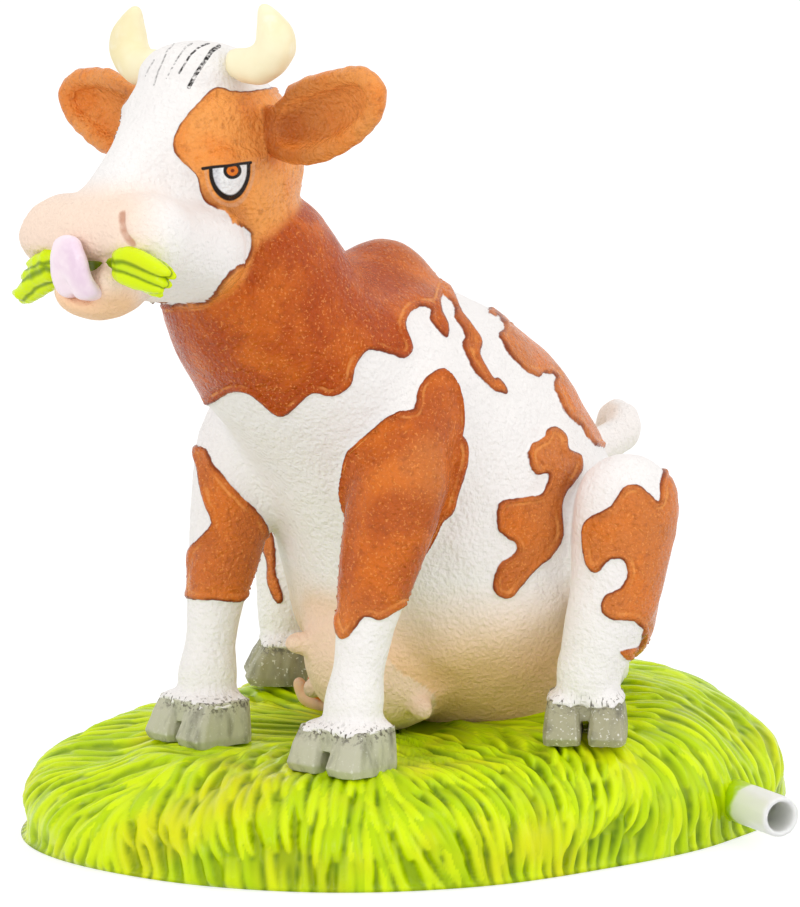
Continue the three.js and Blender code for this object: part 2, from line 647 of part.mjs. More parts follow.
function snailBody(grow = 0) {
  const stations = [
    round(snailAt(-SNAIL_LENGTH * 0.5, SNAIL_RADIUS * 0.4), SNAIL_RADIUS * 0.5),
    round(snailAt(0, SNAIL_RADIUS * 0.6), SNAIL_RADIUS),
    round(snailAt(SNAIL_LENGTH * 0.4, SNAIL_RADIUS), SNAIL_RADIUS * 0.9),
    round(snailAt(SNAIL_LENGTH * 0.55, SNAIL_RADIUS * 2.4), SNAIL_RADIUS * 0.8),
  ];
  return limb(stations, { grow, across: point(0, 1, 0), sides: 8, steps: 2 });
}

function snailShell(grow = 0) {
  const radii = [SNAIL_SHELL / 2, SNAIL_SHELL_WIDTH / 2, SNAIL_SHELL / 2];
  return egg(snailAt(-0.6, SNAIL_RADIUS + SNAIL_SHELL * 0.45), radii, { grow, sides: 12, bands: 8 });
}

// Air line

const BASE_OUTLINE = new THREE.CatmullRomCurve3(
  BASE_RADII.map((radius, index) => {
    const angle = (TURN * index) / BASE_RADII.length;
    return point(radius * Math.cos(angle), radius * Math.sin(angle), 0);
  }),
  true,
  "centripetal",
);

function airRoute() {
  const exit = BASE_OUTLINE.getPoint(LINE_PLACE / 360).setZ(LINE_HEIGHT);
  const heading = point(Math.cos(LINE_HEADING * RADIAN), Math.sin(LINE_HEADING * RADIAN), 0);
  return [
    exit.clone().addScaledVector(heading, STUB_LENGTH),
    exit,
    exit.clone().addScaledVector(heading, -STUB_LENGTH),
    point(RUMP_WIDTH * 0.2, RUMP_BACK + LINE_DIAMETER, LINE_HEIGHT + LINE_DIAMETER / 2),
    point(RUMP_WIDTH * 0.04, RUMP_BACK, BASE_TOP),
    onCow(0, RUMP_BACK - LINE_DIAMETER / 2, RUMP_HEIGHT + LINE_DIAMETER),
    onCow(0, RUMP_BACK + LINE_DIAMETER / 2, BELLY_HEIGHT),
    point(0, TAIL_ROOT.y - LINE_BORE / 4, TAIL_ROOT.z - LINE_DIAMETER),
  ];
}

function airHose(diameter, grow = 0) {
  const stations = airRoute().map((at) => round(at, diameter / 2));
  return limb(stations, { grow, across: point(0.3, 0.9, -0.3), sides: 10, flatStart: true, flatEnd: true });
}

// Grass mound

// Grass ridges run down the shoulder and, as tufts, over the level turf.
function mound() {
  const bladeWave = [0, 1, 0.45];
  const wave = (sector, ring) => bladeWave[(sector + ring) % bladeWave.length];
  const sectors = BLADE_COUNT * bladeWave.length;
  const rim = BASE_OUTLINE.getPoints(sectors).slice(0, sectors);
  const at = (edge, radius, height) => {
    const spot = edge.clone().setLength(radius);
    return spot.setZ(height(spot.y));
  };
  const rings = [rim];
  SHOULDER_RINGS.forEach((angle, band) => {
    const out = Math.sin(angle * RADIAN) ** (2 / SHOULDER_POWER);
    const up = Math.cos(angle * RADIAN) ** (2 / SHOULDER_POWER);
    const height = (y) => BASE_RIM + (turf(y) - BASE_RIM) * up;
    const comb = band === 0 ? 0 : BLADE_DEPTH;
    rings.push(rim.map((edge, sector) => {
      const radius = BASE_PLATEAU + (edge.length() - BASE_PLATEAU) * out;
      return at(edge, radius - comb * wave(sector, band), height);
    }));
  });
  LEVEL_RINGS.forEach((share, band) => {
    const tuft = (sector) => TUFT_HEIGHT * (wave(sector, band) - 0.5);
    rings.push(rim.map((edge, sector) => at(edge, BASE_PLATEAU * share, (y) => turf(y) + tuft(sector))));
  });
  return skin(rings, point(0, 0, 0), point(0, 0, turf(0)));
}

// Assembly: a piece is cut by its neighbours, grown by the glue gap, and then pegged to them.

const pieces = {
  grass_base: cut(
    mound(),
    trunk(GLUE_GAP),
    udder(GLUE_GAP),
    foreHoof(LEFT, GLUE_GAP),
    foreHoof(RIGHT, GLUE_GAP),
    hindHoof(LEFT, GLUE_GAP),
    hindHoof(RIGHT, GLUE_GAP),
    tail(GLUE_GAP),
    snailBody(GLUE_GAP),
    snailShell(GLUE_GAP),
    airHose(LINE_DIAMETER, GLUE_GAP),
  ),
  torso: cut(trunk(), skull(GLUE_GAP), airHose(LINE_DIAMETER, GLUE_GAP), airOutlet()),
  head: cut(
    join(skull(), eye(LEFT), eye(RIGHT)),
    mouth(),
    tongue(GLUE_GAP),
    grassBunch(GLUE_GAP),
    nostril(LEFT),
    nostril(RIGHT),
  ),
  tongue: tongue(),
  grass_bunch: cut(grassBunch(), tongue(GLUE_GAP)),
  udder: cut(udder(), trunk(GLUE_GAP)),
  tail: cut(tail(), trunk(GLUE_GAP)),
  snail_body: cut(snailBody(), trunk(GLUE_GAP), udder(GLUE_GAP)),
  snail_shell: cut(snailShell(), snailBody(GLUE_GAP), trunk(GLUE_GAP), udder(GLUE_GAP)),
  air_line: cut(airHose(LINE_DIAMETER), airHose(LINE_BORE - GLUE_GAP, GLUE_GAP / 2)),
};

for (const [side, name] of [[LEFT, "left"], [RIGHT, "right"]]) {
  pieces[`${name}_horn`] = cut(horn(side), skull(GLUE_GAP));
  pieces[`${name}_ear`] = cut(ear(side), earHollow(side), skull(GLUE_GAP), horn(side, GLUE_GAP));
  pieces[`${name}_foreleg`] = cut(foreleg(side), trunk(GLUE_GAP));
  pieces[`${name}_fore_hoof`] = foreHoof(side);
  pieces[`${name}_hind_leg`] = cut(hindLeg(side), trunk(GLUE_GAP));
  pieces[`${name}_hind_hoof`] = hindHoof(side);
}

function airOutlet() {
  const end = airRoute().at(-1);
  return peg(end, end.clone().add(point(0, TAIL_REACH, 0)), LINE_BORE / 2, 14);
}

// Pegs `owner` into `host`: `from` lies inside the owner and `to` inside the host.
function pegged(owner, host, from, to, radius) {
  pieces[owner] = pieces[owner].add(peg(from, to, radius));
  pieces[host] = pieces[host].subtract(socket(from, to, radius));
}

function pegTowards(owner, host, from, target, length, radius) {
  const to = from.clone().add(target.clone().sub(from).setLength(length));
  pegged(owner, host, from, to, radius);
}

const pollAt = onHead(0, -POLL_FRONT, POLL_HEIGHT);
const neckRootAt = onCow(0, -NECK_ROOT_FRONT, NECK_ROOT_HEIGHT);
pegTowards("head", "torso", pollAt, neckRootAt, POLL_DEPTH / 2 + PEG_LENGTH, PEG_RADIUS);
const udderAt = onCow(0, -UDDER_FRONT, UDDER_HEIGHT);
const bellyAt = onCow(0, BELLY_BACK, BELLY_HEIGHT);
const udderFront = udderAt.clone().add(udderAt.clone().sub(bellyAt).setLength(UDDER_RADIUS * 0.75));
pegTowards("udder", "torso", udderFront, bellyAt, UDDER_RADIUS * 0.35 + PEG_LENGTH, PEG_RADIUS);
const tailPinFrom = TAIL_ROOT.clone().add(point(0, 2, 2));
pegTowards("tail", "torso", tailPinFrom, bellyAt, PIN_LENGTH * 2, PIN_RADIUS);
for (const side of [LEFT, RIGHT]) {
  const from = onCow(side * RUMP_WIDTH * 0.3, RUMP_BACK, PEG_LENGTH);
  pegged("torso", "grass_base", from, from.clone().setZ(BASE_TOP - SEAT_SINK - PEG_LENGTH), PEG_RADIUS);
}

for (const [side, name] of [[LEFT, "left"], [RIGHT, "right"]]) {
  const hornX = side * (HORN_SPREAD / 2 - HORN_REACH * 0.4);
  const hornAt = onHead(hornX, -HORN_FRONT, HORN_ROOT_HEIGHT + HORN_RISE * 0.08);
  pegTowards(`${name}_horn`, "head", hornAt, forelockAt, HORN_RADIUS + PIN_LENGTH, PIN_RADIUS);
  const earRoot = earAt(side).add(point(-side * EAR_LENGTH * 0.28, EAR_THICKNESS * 0.1, -EAR_LENGTH * 0.02));
  pegTowards(`${name}_ear`, "head", earRoot, earRoot.clone().setX(0), PIN_LENGTH * 2, PIN_RADIUS);
  const shoulder = onCow((side * SHOULDER_SPREAD) / 2, -SHOULDER_FRONT, SHOULDER_HEIGHT);
  const chest = onCow(0, -CHEST_FRONT, SHOULDER_HEIGHT);
  const shoulderFrom = shoulder.clone().add(shoulder.clone().sub(chest).setLength(SHOULDER_RADIUS * 0.5));
  pegTowards(`${name}_foreleg`, "torso", shoulderFrom, chest, SHOULDER_RADIUS * 0.5 + PEG_LENGTH, PEG_RADIUS);
  const hip = onCow((side * HIP_SPREAD) / 2, HIP_BACK, HIP_HEIGHT);
  const stifle = onCow((side * STIFLE_SPREAD) / 2, STIFLE_BACK, STIFLE_HEIGHT);
  pegTowards(`${name}_hind_leg`, "torso", stifle.clone().lerp(hip, 0.3), hip, PEG_LENGTH * 2.4, PEG_RADIUS);
  const feet = [
    ["fore", foreFoot(side), `${name}_foreleg`, HOOF_WIDTH],
    ["hind", hindFoot(side), `${name}_hind_leg`, HIND_HOOF_WIDTH],
  ];
  for (const [end, foot, leg, width] of feet) {
    const hoofName = `${name}_${end}_hoof`;
    const ankle = foot.clone().add(point(0, 1, HOOF_TOP + PIN_LENGTH));
    pegged(leg, hoofName, ankle, ankle.clone().setZ(foot.z + HOOF_TOP - HOOF_HEIGHT * 0.3), PIN_RADIUS);
    const sole = foot.clone().add(point((side * width) / 4, 0, HOOF_HEIGHT * 0.3));
    pegged(hoofName, "grass_base", sole, sole.clone().setZ(foot.z - HOOF_SINK - PIN_LENGTH), PIN_RADIUS);
  }
}

// Materials by piece name

const paint = (color, roughness) => new THREE.MeshStandardMaterial({ color, roughness, metalness: 0 });
const WHITE = paint(0xf1eee8, 0.5);
const BROWN = paint(0xb2581f, 0.4);
const CREAM = paint(0xf3e7c0, 0.45);
const LILAC = paint(0xe3c0d2, 0.45);
const BLUSH = paint(0xe9cbb0, 0.5);
const GRASS = paint(0x98bd16, 0.55);
const HOOF_GREY = paint(0x93928a, 0.5);
const ORANGE = paint(0xdc7426, 0.45);
const TUBE = paint(0xe6ebe6, 0.25);

const COLOURS = [
  [/grass/, GRASS],
  [/hoof/, HOOF_GREY],
  [/horn/, CREAM],
  [/ear$|foreleg/, BROWN],
  [/tongue/, LILAC],
  [/udder|snail_body/, BLUSH],
  [/snail_shell/, ORANGE],
  [/air_line/, TUBE],
];

const group = new THREE.Group();
group.name = "cow_aquarium_ornament";
for (const [name, piece] of Object.entries(pieces)) {
  const mesh = piece.getMesh();
  const geometry = new THREE.BufferGeometry();
  geometry.setAttribute("position", new THREE.BufferAttribute(mesh.vertProperties, mesh.numProp));
  geometry.setIndex(new THREE.BufferAttribute(mesh.triVerts, 1));
  const colour = COLOURS.find(([pattern]) => pattern.test(name));
  const node = new THREE.Mesh(geometry, colour ? colour[1] : WHITE);
  node.name = name;
  group.add(node);
}

export default group;
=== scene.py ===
"""Looks of the cow aquarium ornament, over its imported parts.

The cow's parts are melted into one smooth casting, painted by outlines read off the photograph, and cut
back into the same parts, so that the paint runs over the joints as it does on the glued figure.
Lengths are in millimetres until a mesh is made, and the studio's are in metres. A pair named as a span
holds the two levels between which a value eases in, and it may run downwards.
"""
import json
import math
from functools import partial, reduce

import bpy
import numpy as np
import openvdb
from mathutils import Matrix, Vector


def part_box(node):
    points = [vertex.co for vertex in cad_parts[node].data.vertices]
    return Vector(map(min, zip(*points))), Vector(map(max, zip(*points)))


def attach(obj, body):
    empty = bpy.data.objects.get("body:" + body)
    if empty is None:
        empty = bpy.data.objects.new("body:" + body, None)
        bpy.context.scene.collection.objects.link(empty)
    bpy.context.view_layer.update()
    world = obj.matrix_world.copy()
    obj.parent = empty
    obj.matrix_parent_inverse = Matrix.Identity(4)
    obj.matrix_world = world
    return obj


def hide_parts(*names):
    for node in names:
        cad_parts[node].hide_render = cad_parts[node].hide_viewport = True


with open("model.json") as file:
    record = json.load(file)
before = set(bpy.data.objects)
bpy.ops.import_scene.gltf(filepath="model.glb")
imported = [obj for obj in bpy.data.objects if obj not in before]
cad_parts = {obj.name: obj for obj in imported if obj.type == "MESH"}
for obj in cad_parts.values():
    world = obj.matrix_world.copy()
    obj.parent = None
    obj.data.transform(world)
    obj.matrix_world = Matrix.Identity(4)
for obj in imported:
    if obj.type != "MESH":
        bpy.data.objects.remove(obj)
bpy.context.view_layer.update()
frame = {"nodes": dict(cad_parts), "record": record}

MM = 0.001
SEED = 11
TINY = 1e-9

# The photograph's camera
PHOTO = (800, 907)
AZIMUTH = math.radians(45)
ELEVATION = math.radians(10)
DISTANCE = 1200.0
TARGET = np.array([0.0, 0.0, 50.8])
PIXELS_PER_MM = 7.45
SENSOR = 36.0
RAY_REACH = 80

# Distance fields
CELL = 0.4
SMALL_CELL = 0.25
HOOF_CELL = 0.2
TUBE_CELL = 0.3
MARGIN = 4.0
SMALL_MARGIN = 2.0
BAND = 14
SOFTEN_PASSES = 3
LAST_CELL = 1.001
LUMP_TABLE = 32

# The casting: for each part, the cells that its facets are softened over, how far it melts into the
# parts before it, and how much it thickens
CASTING = {
    "torso": (4, 0.0, 0.0),
    "head": (2, 3.0, 0.0),
    "left_foreleg": (3, 3.5, 0.0),
    "right_foreleg": (3, 3.5, 0.0),
    "left_hind_leg": (3, 1.8, 0.0),
    "right_hind_leg": (3, 1.8, 0.0),
    "udder": (1, 2.0, 0.0),
    "tail": (1, 1.5, 0.2),
    "left_ear": (1, 1.2, 0.0),
    "right_ear": (1, 1.2, 0.0),
}
PARTS = list(CASTING)
EARS = ("left_ear", "right_ear")
HORNS = ("left_horn", "right_horn")
HOOVES = ("left_fore_hoof", "right_fore_hoof", "left_hind_hoof", "right_hind_hoof")
COAT_SLOTS = {"udder": "udder_blush", "left_ear": "cow_brown", "right_ear": "cow_brown"}
CAP_DEPTH = 1.2
RELABEL_PASSES = 12

# A point within so much of a part's own surface lies on that part; the hems lie off the torso
ON_PART = 1.5
ON_TAIL = 0.8
ON_EAR = 0.6
OFF_TORSO = 1.0

# The coat flares out above each hoof and ends over its top in a ragged hem
HEM_OVERLAP = 0.15
HEM_DROP = 0.6
HEM_RAGGED = 0.45
HEM_FLARE = 2.4
HEM_LOCK = 0.9
HEM_STRETCH = np.array([1, 1, 0.2])
HEM_ROOM = 0.75
HEM_SPAN = (1.2, -0.4)

# How far the brown is lighter: by part, as wear and painted light; at the rear, as wear; on sharp edges, as a
# painted highlight
PART_WEAR_AND_SHEEN = {
    "head": 1.0, "left_ear": 0.5, "right_ear": 0.5, "left_foreleg": 0.12, "right_foreleg": 0.25,
    "left_hind_leg": 0.25, "right_hind_leg": 0.25,
}
WORN_SPAN = (2.0, 0.3)
WORN_REAR = 0.4
REAR_SPAN = (-12.0, 6.0)
EDGE_HIGHLIGHT = 0.8
EDGE_SPAN = (0.05, 0.14)
SHARP_PASSES = 3

# The brown gets a painted highlight on ridges and a painted shade in hollows, which show at this many cells
ROUNDING_REACH = 5
RIDGE_HIGHLIGHT = 0.85
RIDGE_SPAN = (0.35, 1.1)
HOLLOW_SHADE = 0.65
HOLLOW_SPAN = (-0.15, -0.9)

# The bowl of an ear: rim left round it, its depth, how far it is moved towards the tip, and the painted shade
# in it
EAR_RIM = 1.0
BOWL_DEPTH = 4.2
BOWL_SHIFT = 1.0
BOWL_ROOM = 1.0
BOWL_FILLET = 0.6
BOWL_FACING = (0.4, 0.9)
BOWL_SHADE = (0.05, 0.45)
BOWL_SPAN = (28, 12)

# The rolled rim of an ear, from a share of its length on
RIM_STATIONS = 40
RIM_RADIUS = 0.9
RIM_INSET = 0.08
RIM_ROOT = 0.25
RIM_FILLET = 0.5
RIM_SMOOTHING = range(-2, 3)

# Paint relief
PATCH_RAISE = 0.3
PATCH_SPAN = (-0.25, 0.35)
PATCH_LINE = 0.16
PATCH_LINE_IN = 0.9
PATCH_RIDGE_WIDTH = 0.3
PATCH_GROOVE_WIDTH = 0.22
LUMP_SIZE = 4.5
LUMP_HEIGHT = 0.14

# Outlines of the brown patches, in the photograph's pixels
FACE_AND_BIB = [
    (215, 88), (196, 106), (180, 125), (173, 142), (178, 158), (196, 174), (200, 190), (207, 205),
    (228, 214), (232, 224), (250, 233), (247, 258), (236, 266), (225, 275), (216, 290), (203, 301),
    (180, 303), (148, 306), (153, 322), (140, 420), (205, 406), (229, 393), (247, 393), (262, 404),
    (279, 417), (294, 409), (312, 393), (333, 396), (351, 385), (355, 367), (368, 350), (388, 354),
    (405, 358), (413, 347), (405, 324), (414, 309), (429, 309), (431, 322), (446, 339), (448, 324),
    (440, 302), (452, 250), (400, 190), (330, 190), (330, 60), (285, 84), (240, 92),
]
BACK_STRIP = [
    (436, 288), (452, 303), (454, 318), (464, 335), (462, 344), (469, 364), (481, 381), (492, 390),
    (505, 394), (506, 388), (498, 378), (492, 377), (480, 354), (482, 343), (478, 333), (462, 312),
    (456, 296), (446, 280),
]
BACK_EDGE = [
    (488, 309), (498, 318), (503, 328), (498, 337), (508, 354), (522, 369), (539, 377), (544, 373),
    (554, 378), (553, 386), (564, 413), (579, 426), (588, 440), (599, 447), (640, 440), (600, 340),
    (520, 280),
]
FLANK = [
    (547, 429), (556, 427), (566, 436), (568, 449), (581, 455), (581, 472), (566, 493), (562, 508),
    (563, 535), (552, 556), (537, 569), (522, 586), (510, 598), (495, 594), (493, 579), (499, 565),
    (516, 552), (514, 542), (499, 531), (498, 504), (518, 497), (537, 495), (545, 487), (547, 474),
    (535, 474), (527, 459), (530, 445), (543, 438),
]
THIGH = [
    (623, 488), (637, 485), (649, 494), (658, 501), (661, 476), (670, 462), (720, 480), (720, 600),
    (670, 665), (643, 660), (628, 660), (620, 651), (637, 646), (642, 632), (634, 621), (614, 620),
    (602, 611), (605, 596), (620, 588), (627, 573), (623, 560), (611, 560), (596, 573), (586, 564),
    (582, 541), (587, 520), (611, 506),
]
LEFT_FORELEG = [
    (445, 363), (418, 385), (414, 409), (386, 411), (364, 428), (340, 446), (336, 472), (330, 500),
    (330, 586), (336, 632), (347, 638), (365, 617), (380, 620), (404, 607), (430, 600), (455, 515),
    (468, 440), (466, 400),
]
RIGHT_FORELEG = [
    (191, 446), (197, 470), (203, 500), (211, 523), (198, 539), (188, 550), (183, 575), (186, 598),
    (215, 600), (240, 602), (252, 594), (270, 580), (272, 545), (262, 517), (240, 495), (226, 479),
    (215, 465), (207, 450),
]
# Painted shade: brown put on the torso where it lies in shadow behind the left foreleg
SHADE_BEHIND_FORELEG = [
    (420, 425), (455, 432), (468, 446), (466, 470), (458, 495), (452, 515), (430, 520), (410, 470),
]
RIGHT_SHOULDER = [(170, 360), (197, 362), (199, 380), (192, 396), (170, 400)]
RIGHT_SHANK = [
    (264, 524), (262, 545), (267, 562), (268, 585), (278, 604), (284, 596), (277, 575), (276, 548),
    (271, 528),
]

# The parts that each outline is painted on, and whether the hidden side repeats it, moved by so many pixels
PATCHES = [
    (FACE_AND_BIB, ("head", "torso"), (0, 0)),
    (BACK_STRIP, ("torso",), None),
    (BACK_EDGE, ("torso",), None),
    (FLANK, ("torso",), (-34, -22)),
    (THIGH, ("left_hind_leg", "right_hind_leg"), (-10, 6)),
    (LEFT_FORELEG, ("left_foreleg",), None),
    (RIGHT_FORELEG, ("right_foreleg",), None),
    (SHADE_BEHIND_FORELEG, ("torso",), None),
    (RIGHT_SHOULDER, ("torso", "right_foreleg"), None),
    (RIGHT_SHANK, ("right_hind_leg",), None),
]
PATCH_SEARCH = 40
BARE = -5.0
EAR_BROWN = 2.5
EAR_ROOM = 0.3

# A patch fades off its part, and where the surface turns away from the side that it is painted from
PATCH_ROOM = 1.2
PATCH_FALL = 1.5
TURN_AWAY = 25.0
GRAZING = 0.05
SEEN_SIDE = 0.1

# Blush on udder, belly and chin, and rose on muzzle and tail, deepened as painted shade on the tail's side
# turned to the camera's left; the face's spans are in pixels
UDDER_BLUSH = 0.7
UDDER_SPAN = (7, 1)
BELLY_HEIGHT_SPAN = (40, 22)
BELLY_BACK_SPAN = (26, 8)
CHIN_BLUSH = 0.95
CHIN_ACROSS_SPAN = (150, 125)
CHIN_DOWN_SPAN = (278, 305)
NOSE_ACROSS_SPAN = (178, 120)
NOSE_DOWN_SPAN = (170, 205)
NOSE_BARE = 6
NOSE_BARE_SPAN = (0.4, 0.7)
TAIL_ROSE_AND_SHADE = (0.12, 0.6)
TAIL_SHADE_SPAN = (0.0, 0.8)

# Face paint, in the photograph's pixels
LID = ((203, 168), (249, 162))
LID_LINE = 1.9
EYE_WHITE = (229, 166)
EYE_WHITE_SIZE = (18, 30.5)
EYE_EDGE = 0.5
EYE_LINE = 3.8
EYE_SOFT = 1.2
EYE_ZONE = np.array([34, 42])
EYE_SHADE_SPAN = (223, 216)
SOCKET_GAP = 5.0
SOCKET_LINE = (2.2, 1.6)
SOCKET_STRENGTH = 0.7
IRIS = (231.5, 170)
IRIS_SIZE = 9.0
IRIS_LINE = 3.2
PUPIL_SIZE = 2.4

# A hair stroke's half width, strength and line
HAIR_STROKES = [
    (0.9, 0.5, [(146, 76), (148, 70), (154, 60)]),
    (0.9, 0.6, [(154, 85), (158, 72), (167, 51), (174, 44)]),
    (0.9, 0.8, [(166, 78), (177, 58), (186, 46), (192, 43)]),
    (1.2, 1.0, [(179, 73), (191, 54), (199, 47), (209, 43)]),
    (2.2, 1.0, [(189, 87), (196, 74), (211, 52), (219, 46)]),
]
STROKE_EDGE = 0.3
STROKE_SOFT = 0.9

# Face carving: lines in the photograph's pixels, and their radii and fillets
LID_FOLD = ((201, 165), (226, 158), (251, 159))
LID_RADIUS = 0.8
LID_FILLET = 1.2
NOSTRIL = ((122, 213), (121.5, 224), (124, 235), (132, 244))
HIDDEN_NOSTRIL_SHIFT = (22, 0)
SLIT_RADIUS = 0.45
SLIT_FILLET = 0.5
SLIT_EDGE = (SLIT_RADIUS + 0.25, 0.3)
SLIT_STRENGTH = 0.7
LIP = ((92, 286), (110, 282))
LIP_RADIUS = 1.9
LIP_FILLET = 1.5

# Small castings
THICKEN = 0.3
HOOF_HEM_SPAN = (-2.2, -0.4)
GROOVE_DEPTH = 0.1
GROOVE_SIZE = 0.9
GROOVE_STRETCH = np.array([1, 1, 0.25])
FOLD_SIDE = 0.8
FOLD_WIDTH = 0.9
FOLD_DEPTH = 0.7
FOLD_ENDS = (-3, 1)
TONGUE_LUMP = 0.06
TONGUE_LUMP_SIZE = 1.2

# The grass in the mouth
STRAND_COUNT = 6
STRAND_STATIONS = 28
STRAND_RADIUS = 1.3
STRAND_TIP = 0.5
STRAND_CURL = 1.2
STRAND_TUCK = 2.4
STRAND_STAGGER = 1.6
STRAND_SPREAD = (0.45, 0.9)
STRAND_ENDS = (0.5, 2)
STRAND_FULLNESS = 6
CURL_POWER = 4
WAVE_HEIGHT = 0.25
WAVE_RATE = 0.5
WAVE_START = 6
STRAND_FILLET = 0.15
TUCK_SPAN = (7.5, 4.5)
# The bunch is darker where strands lie close together: painted shade between them
STRAND_SHADE_BETWEEN = (0.35, 0.65)
STRAND_SHADE_SPAN = (0.0, 0.6)
STRAND_TINT = (0.4, 0.6)

# The mound
BASE_RADII = [39, 45, 54, 49.5, 44, 42, 44, 49, 51.5, 47.5, 43.5, 40]
BASE_TOP = 13.6
BASE_RIM = 3.5
BASE_PLATEAU = 27.0
REAR_RISE = 6.2
RISE_RUN = 34.0
SHOULDER_POWER = 2.1
TOP_RADIUS = 3.0
MOUND_COLUMNS = 1000
RIM_ROWS = 6
SHOULDER_ROWS = 62
LEVEL_ROWS = 32
MOUND_LUMP_SIZE = 11.0
MOUND_LUMP_HEIGHT = 1.6
MOUND_LUMP_SPAN = (31, 38)
FOOT_SPAN = (0.0, 1.0)

# Its blades stand in tiers; the spreads are of random draws
BLADE_LENGTH = 9.5
BLADE_SPACING = 1.4
BLADE_RISE = 1.7
BLADE_SWAY = 0.65
SWAY_WAVES = 20
RELIEF = (0.8, 0.3)
RELIEF_WAVES = 9
TIER_FIRST = -2.0
TIER_LAST = 6
TIER_STEP = 5.2
TIER_WAVE = 2.0
TIER_WAVES = 22
PLACE_SPREAD = 0.3
TIP_SPREAD = 1.3
LENGTH_SPREAD = (0.8, 1.25)
HALF_SPREAD = (0.5, 0.75)
RISE_SPREAD = (0.7, 1.0)
LEAN_SPREAD = 0.05
BLADE_LIFT = (0.3, 0.7)
BLADE_DROOP = 0.4
DROOP_SPAN = (0.8, 1.0)
# A blade's back is darker towards its root, under the tier above: painted shade
BLADE_ROOT_SHADE = (0.55, 0.45)
BLADE_TAPER = 4
BLADE_TIP = 0.02
NEUTRAL = 0.5

# The head leans and turns to its right about a pivot, from some height of the neck on
HEAD_LEAN = math.radians(6)
HEAD_TURN = math.radians(3.5)
HEAD_PIVOT = np.array([0.0, -33.0, BASE_TOP + 76])
NECK_SPAN = (BASE_TOP + 58, BASE_TOP + 70)

# Colours as they are seen, from 0 to 255
WHITE = (250, 250, 250)
WHITE_SHADE = (242, 242, 243)
BROWN = (184, 74, 0)
BROWN_DARK = (130, 48, 2)
BROWN_LIGHT = (240, 126, 28)
BROWN_WEAR_AND_SHEEN = (252, 166, 84)
BLUSH = (250, 206, 162)
NOSE = (250, 226, 208)
SLIT = (192, 124, 90)
INK = (22, 16, 14)
LIME = (188, 220, 0)
LIME_DARK = (84, 120, 0)
LIME_LIGHT = (216, 240, 8)
YELLOW = (230, 220, 24)
HORN = (249, 240, 203)
HORN_DARK = (240, 226, 176)
HORN_TIP = (252, 246, 224)
TONGUE = (250, 232, 240)
TONGUE_DARK = (232, 204, 224)
TONGUE_LIGHT = (248, 228, 240)
HOOF = (190, 188, 164)
HOOF_DARK = (108, 106, 90)
HOOF_LIGHT = (236, 235, 226)
HIND_HOOF = (166, 162, 132)
HEM_SPECK = (98, 92, 80)
SOCKET = (238, 176, 128)
EYE_SHADE = (168, 172, 186)
SHELL = (246, 112, 24)
SHELL_DARK = (206, 84, 16)
SHELL_LIGHT = (240, 160, 80)
SNAIL_DARK = (214, 176, 146)
SNAIL_LIGHT = (246, 226, 206)
TUBE = (252, 254, 244)
TUBE_CLOUD = (250, 250, 246)

# Hide paint. Patchy noise is given by its size, its detail and the two levels that it shows between
WOBBLE_SIZE = 1.6
WOBBLE = 0.5
SHADE_SIZE = 6.0
HEM_HAIRS = (0.45, 2.0, 0.58, 0.64)
HAIR_STRETCH = (1.0, 1.0, 0.15)
BROWN_NOISE = [
    ((6.0, 5.0, 0.42, 0.68), 0.5, BROWN_LIGHT),
    ((1.0, 3.0, 0.5, 0.75), 0.3, BROWN_DARK),
    ((0.35, 2.0, 0.58, 0.68), 0.45, BROWN_WEAR_AND_SHEEN),
]
RUB_SIZE = 4.0
PALE_SPAN = (0.3, 0.04)
PALE_RUB_SPAN = (0.4, 0.65)
PALE_STRENGTH = 0.65
DARK_SPAN = (0.5, 0.05)
DARK_RUB_SPAN = (0.7, 0.45)
DARK_STRENGTH = 0.95
PAINT_SPAN = (-0.06, 0.06)
WHITE_ROUGH = 0.48
BROWN_SMOOTHER = -0.3
HIDE_SPECULAR = 0.22
PEBBLE = (0.6, 3.0)
WHITE_PEBBLE = 1.5
PEBBLE_BUMP = (0.3, 0.9)
EYE_GRAIN = (0.4, 3.0)
DRY_BRUSH = (0.5, 3.0, 0.3, 0.6)

# Paints in two brushed tones over a main colour, then their roughness and the size of their grain
BRUSHED = {
    "horn_paint": (HORN, HORN_DARK, HORN_TIP, 0.4, 2.0),
    "tongue_paint": (TONGUE, TONGUE_DARK, TONGUE_LIGHT, 0.25, 1.2),
    "shell_paint": (SHELL, SHELL_DARK, SHELL_LIGHT, 0.3, 1.0),
    "snail_paint": (BLUSH, SNAIL_DARK, SNAIL_LIGHT, 0.4, 0.8),
}
BRUSHED_DARK = (4, 4.0, 0.4, 0.7)
BRUSHED_LIGHT = (2, 4.0, 0.5, 0.75)
BRUSHED_ROUGH = 0.2
BRUSHED_DETAIL = 3.0
BRUSHED_BUMP = 0.05

# Hoof paint, its edges in millimetres of sharpness
HOOF_RUB = (0.6, 4.0)
HOOF_RUB_SPAN = (0.3, 0.55)
STREAKS = (2.5, 4.0, 0.45, 0.72)
STREAK_STRETCH = (1.0, 1.0, 0.4)
STREAK_STRENGTH = 0.75
# Painted shade in the cleft, where the hoof is hollow
CLEFT_SHADE_SPAN = (-0.03, -0.12)
HOOF_EDGE_SPAN = (0.03, 0.1)
HOOF_SPECKS = (0.4, 2.0, 0.62, 0.7)
FORE_SPECKS = 0.25
HIND_SPECKS = 0.8
# Dark specks, thickest just under the coat's hem
HOOF_TOP_SPECKS = (0.5, 3.0, 0.5, 0.62)
HOOF_ROUGH = 0.55
HOOF_BUMP = (0.12, 0.6)

# Grass paint
TINT_SPAN = (0.25, 0.8)
YELLOWED = (14.0, 2.0, 0.5, 0.72)
YELLOW_STRENGTH = 0.6
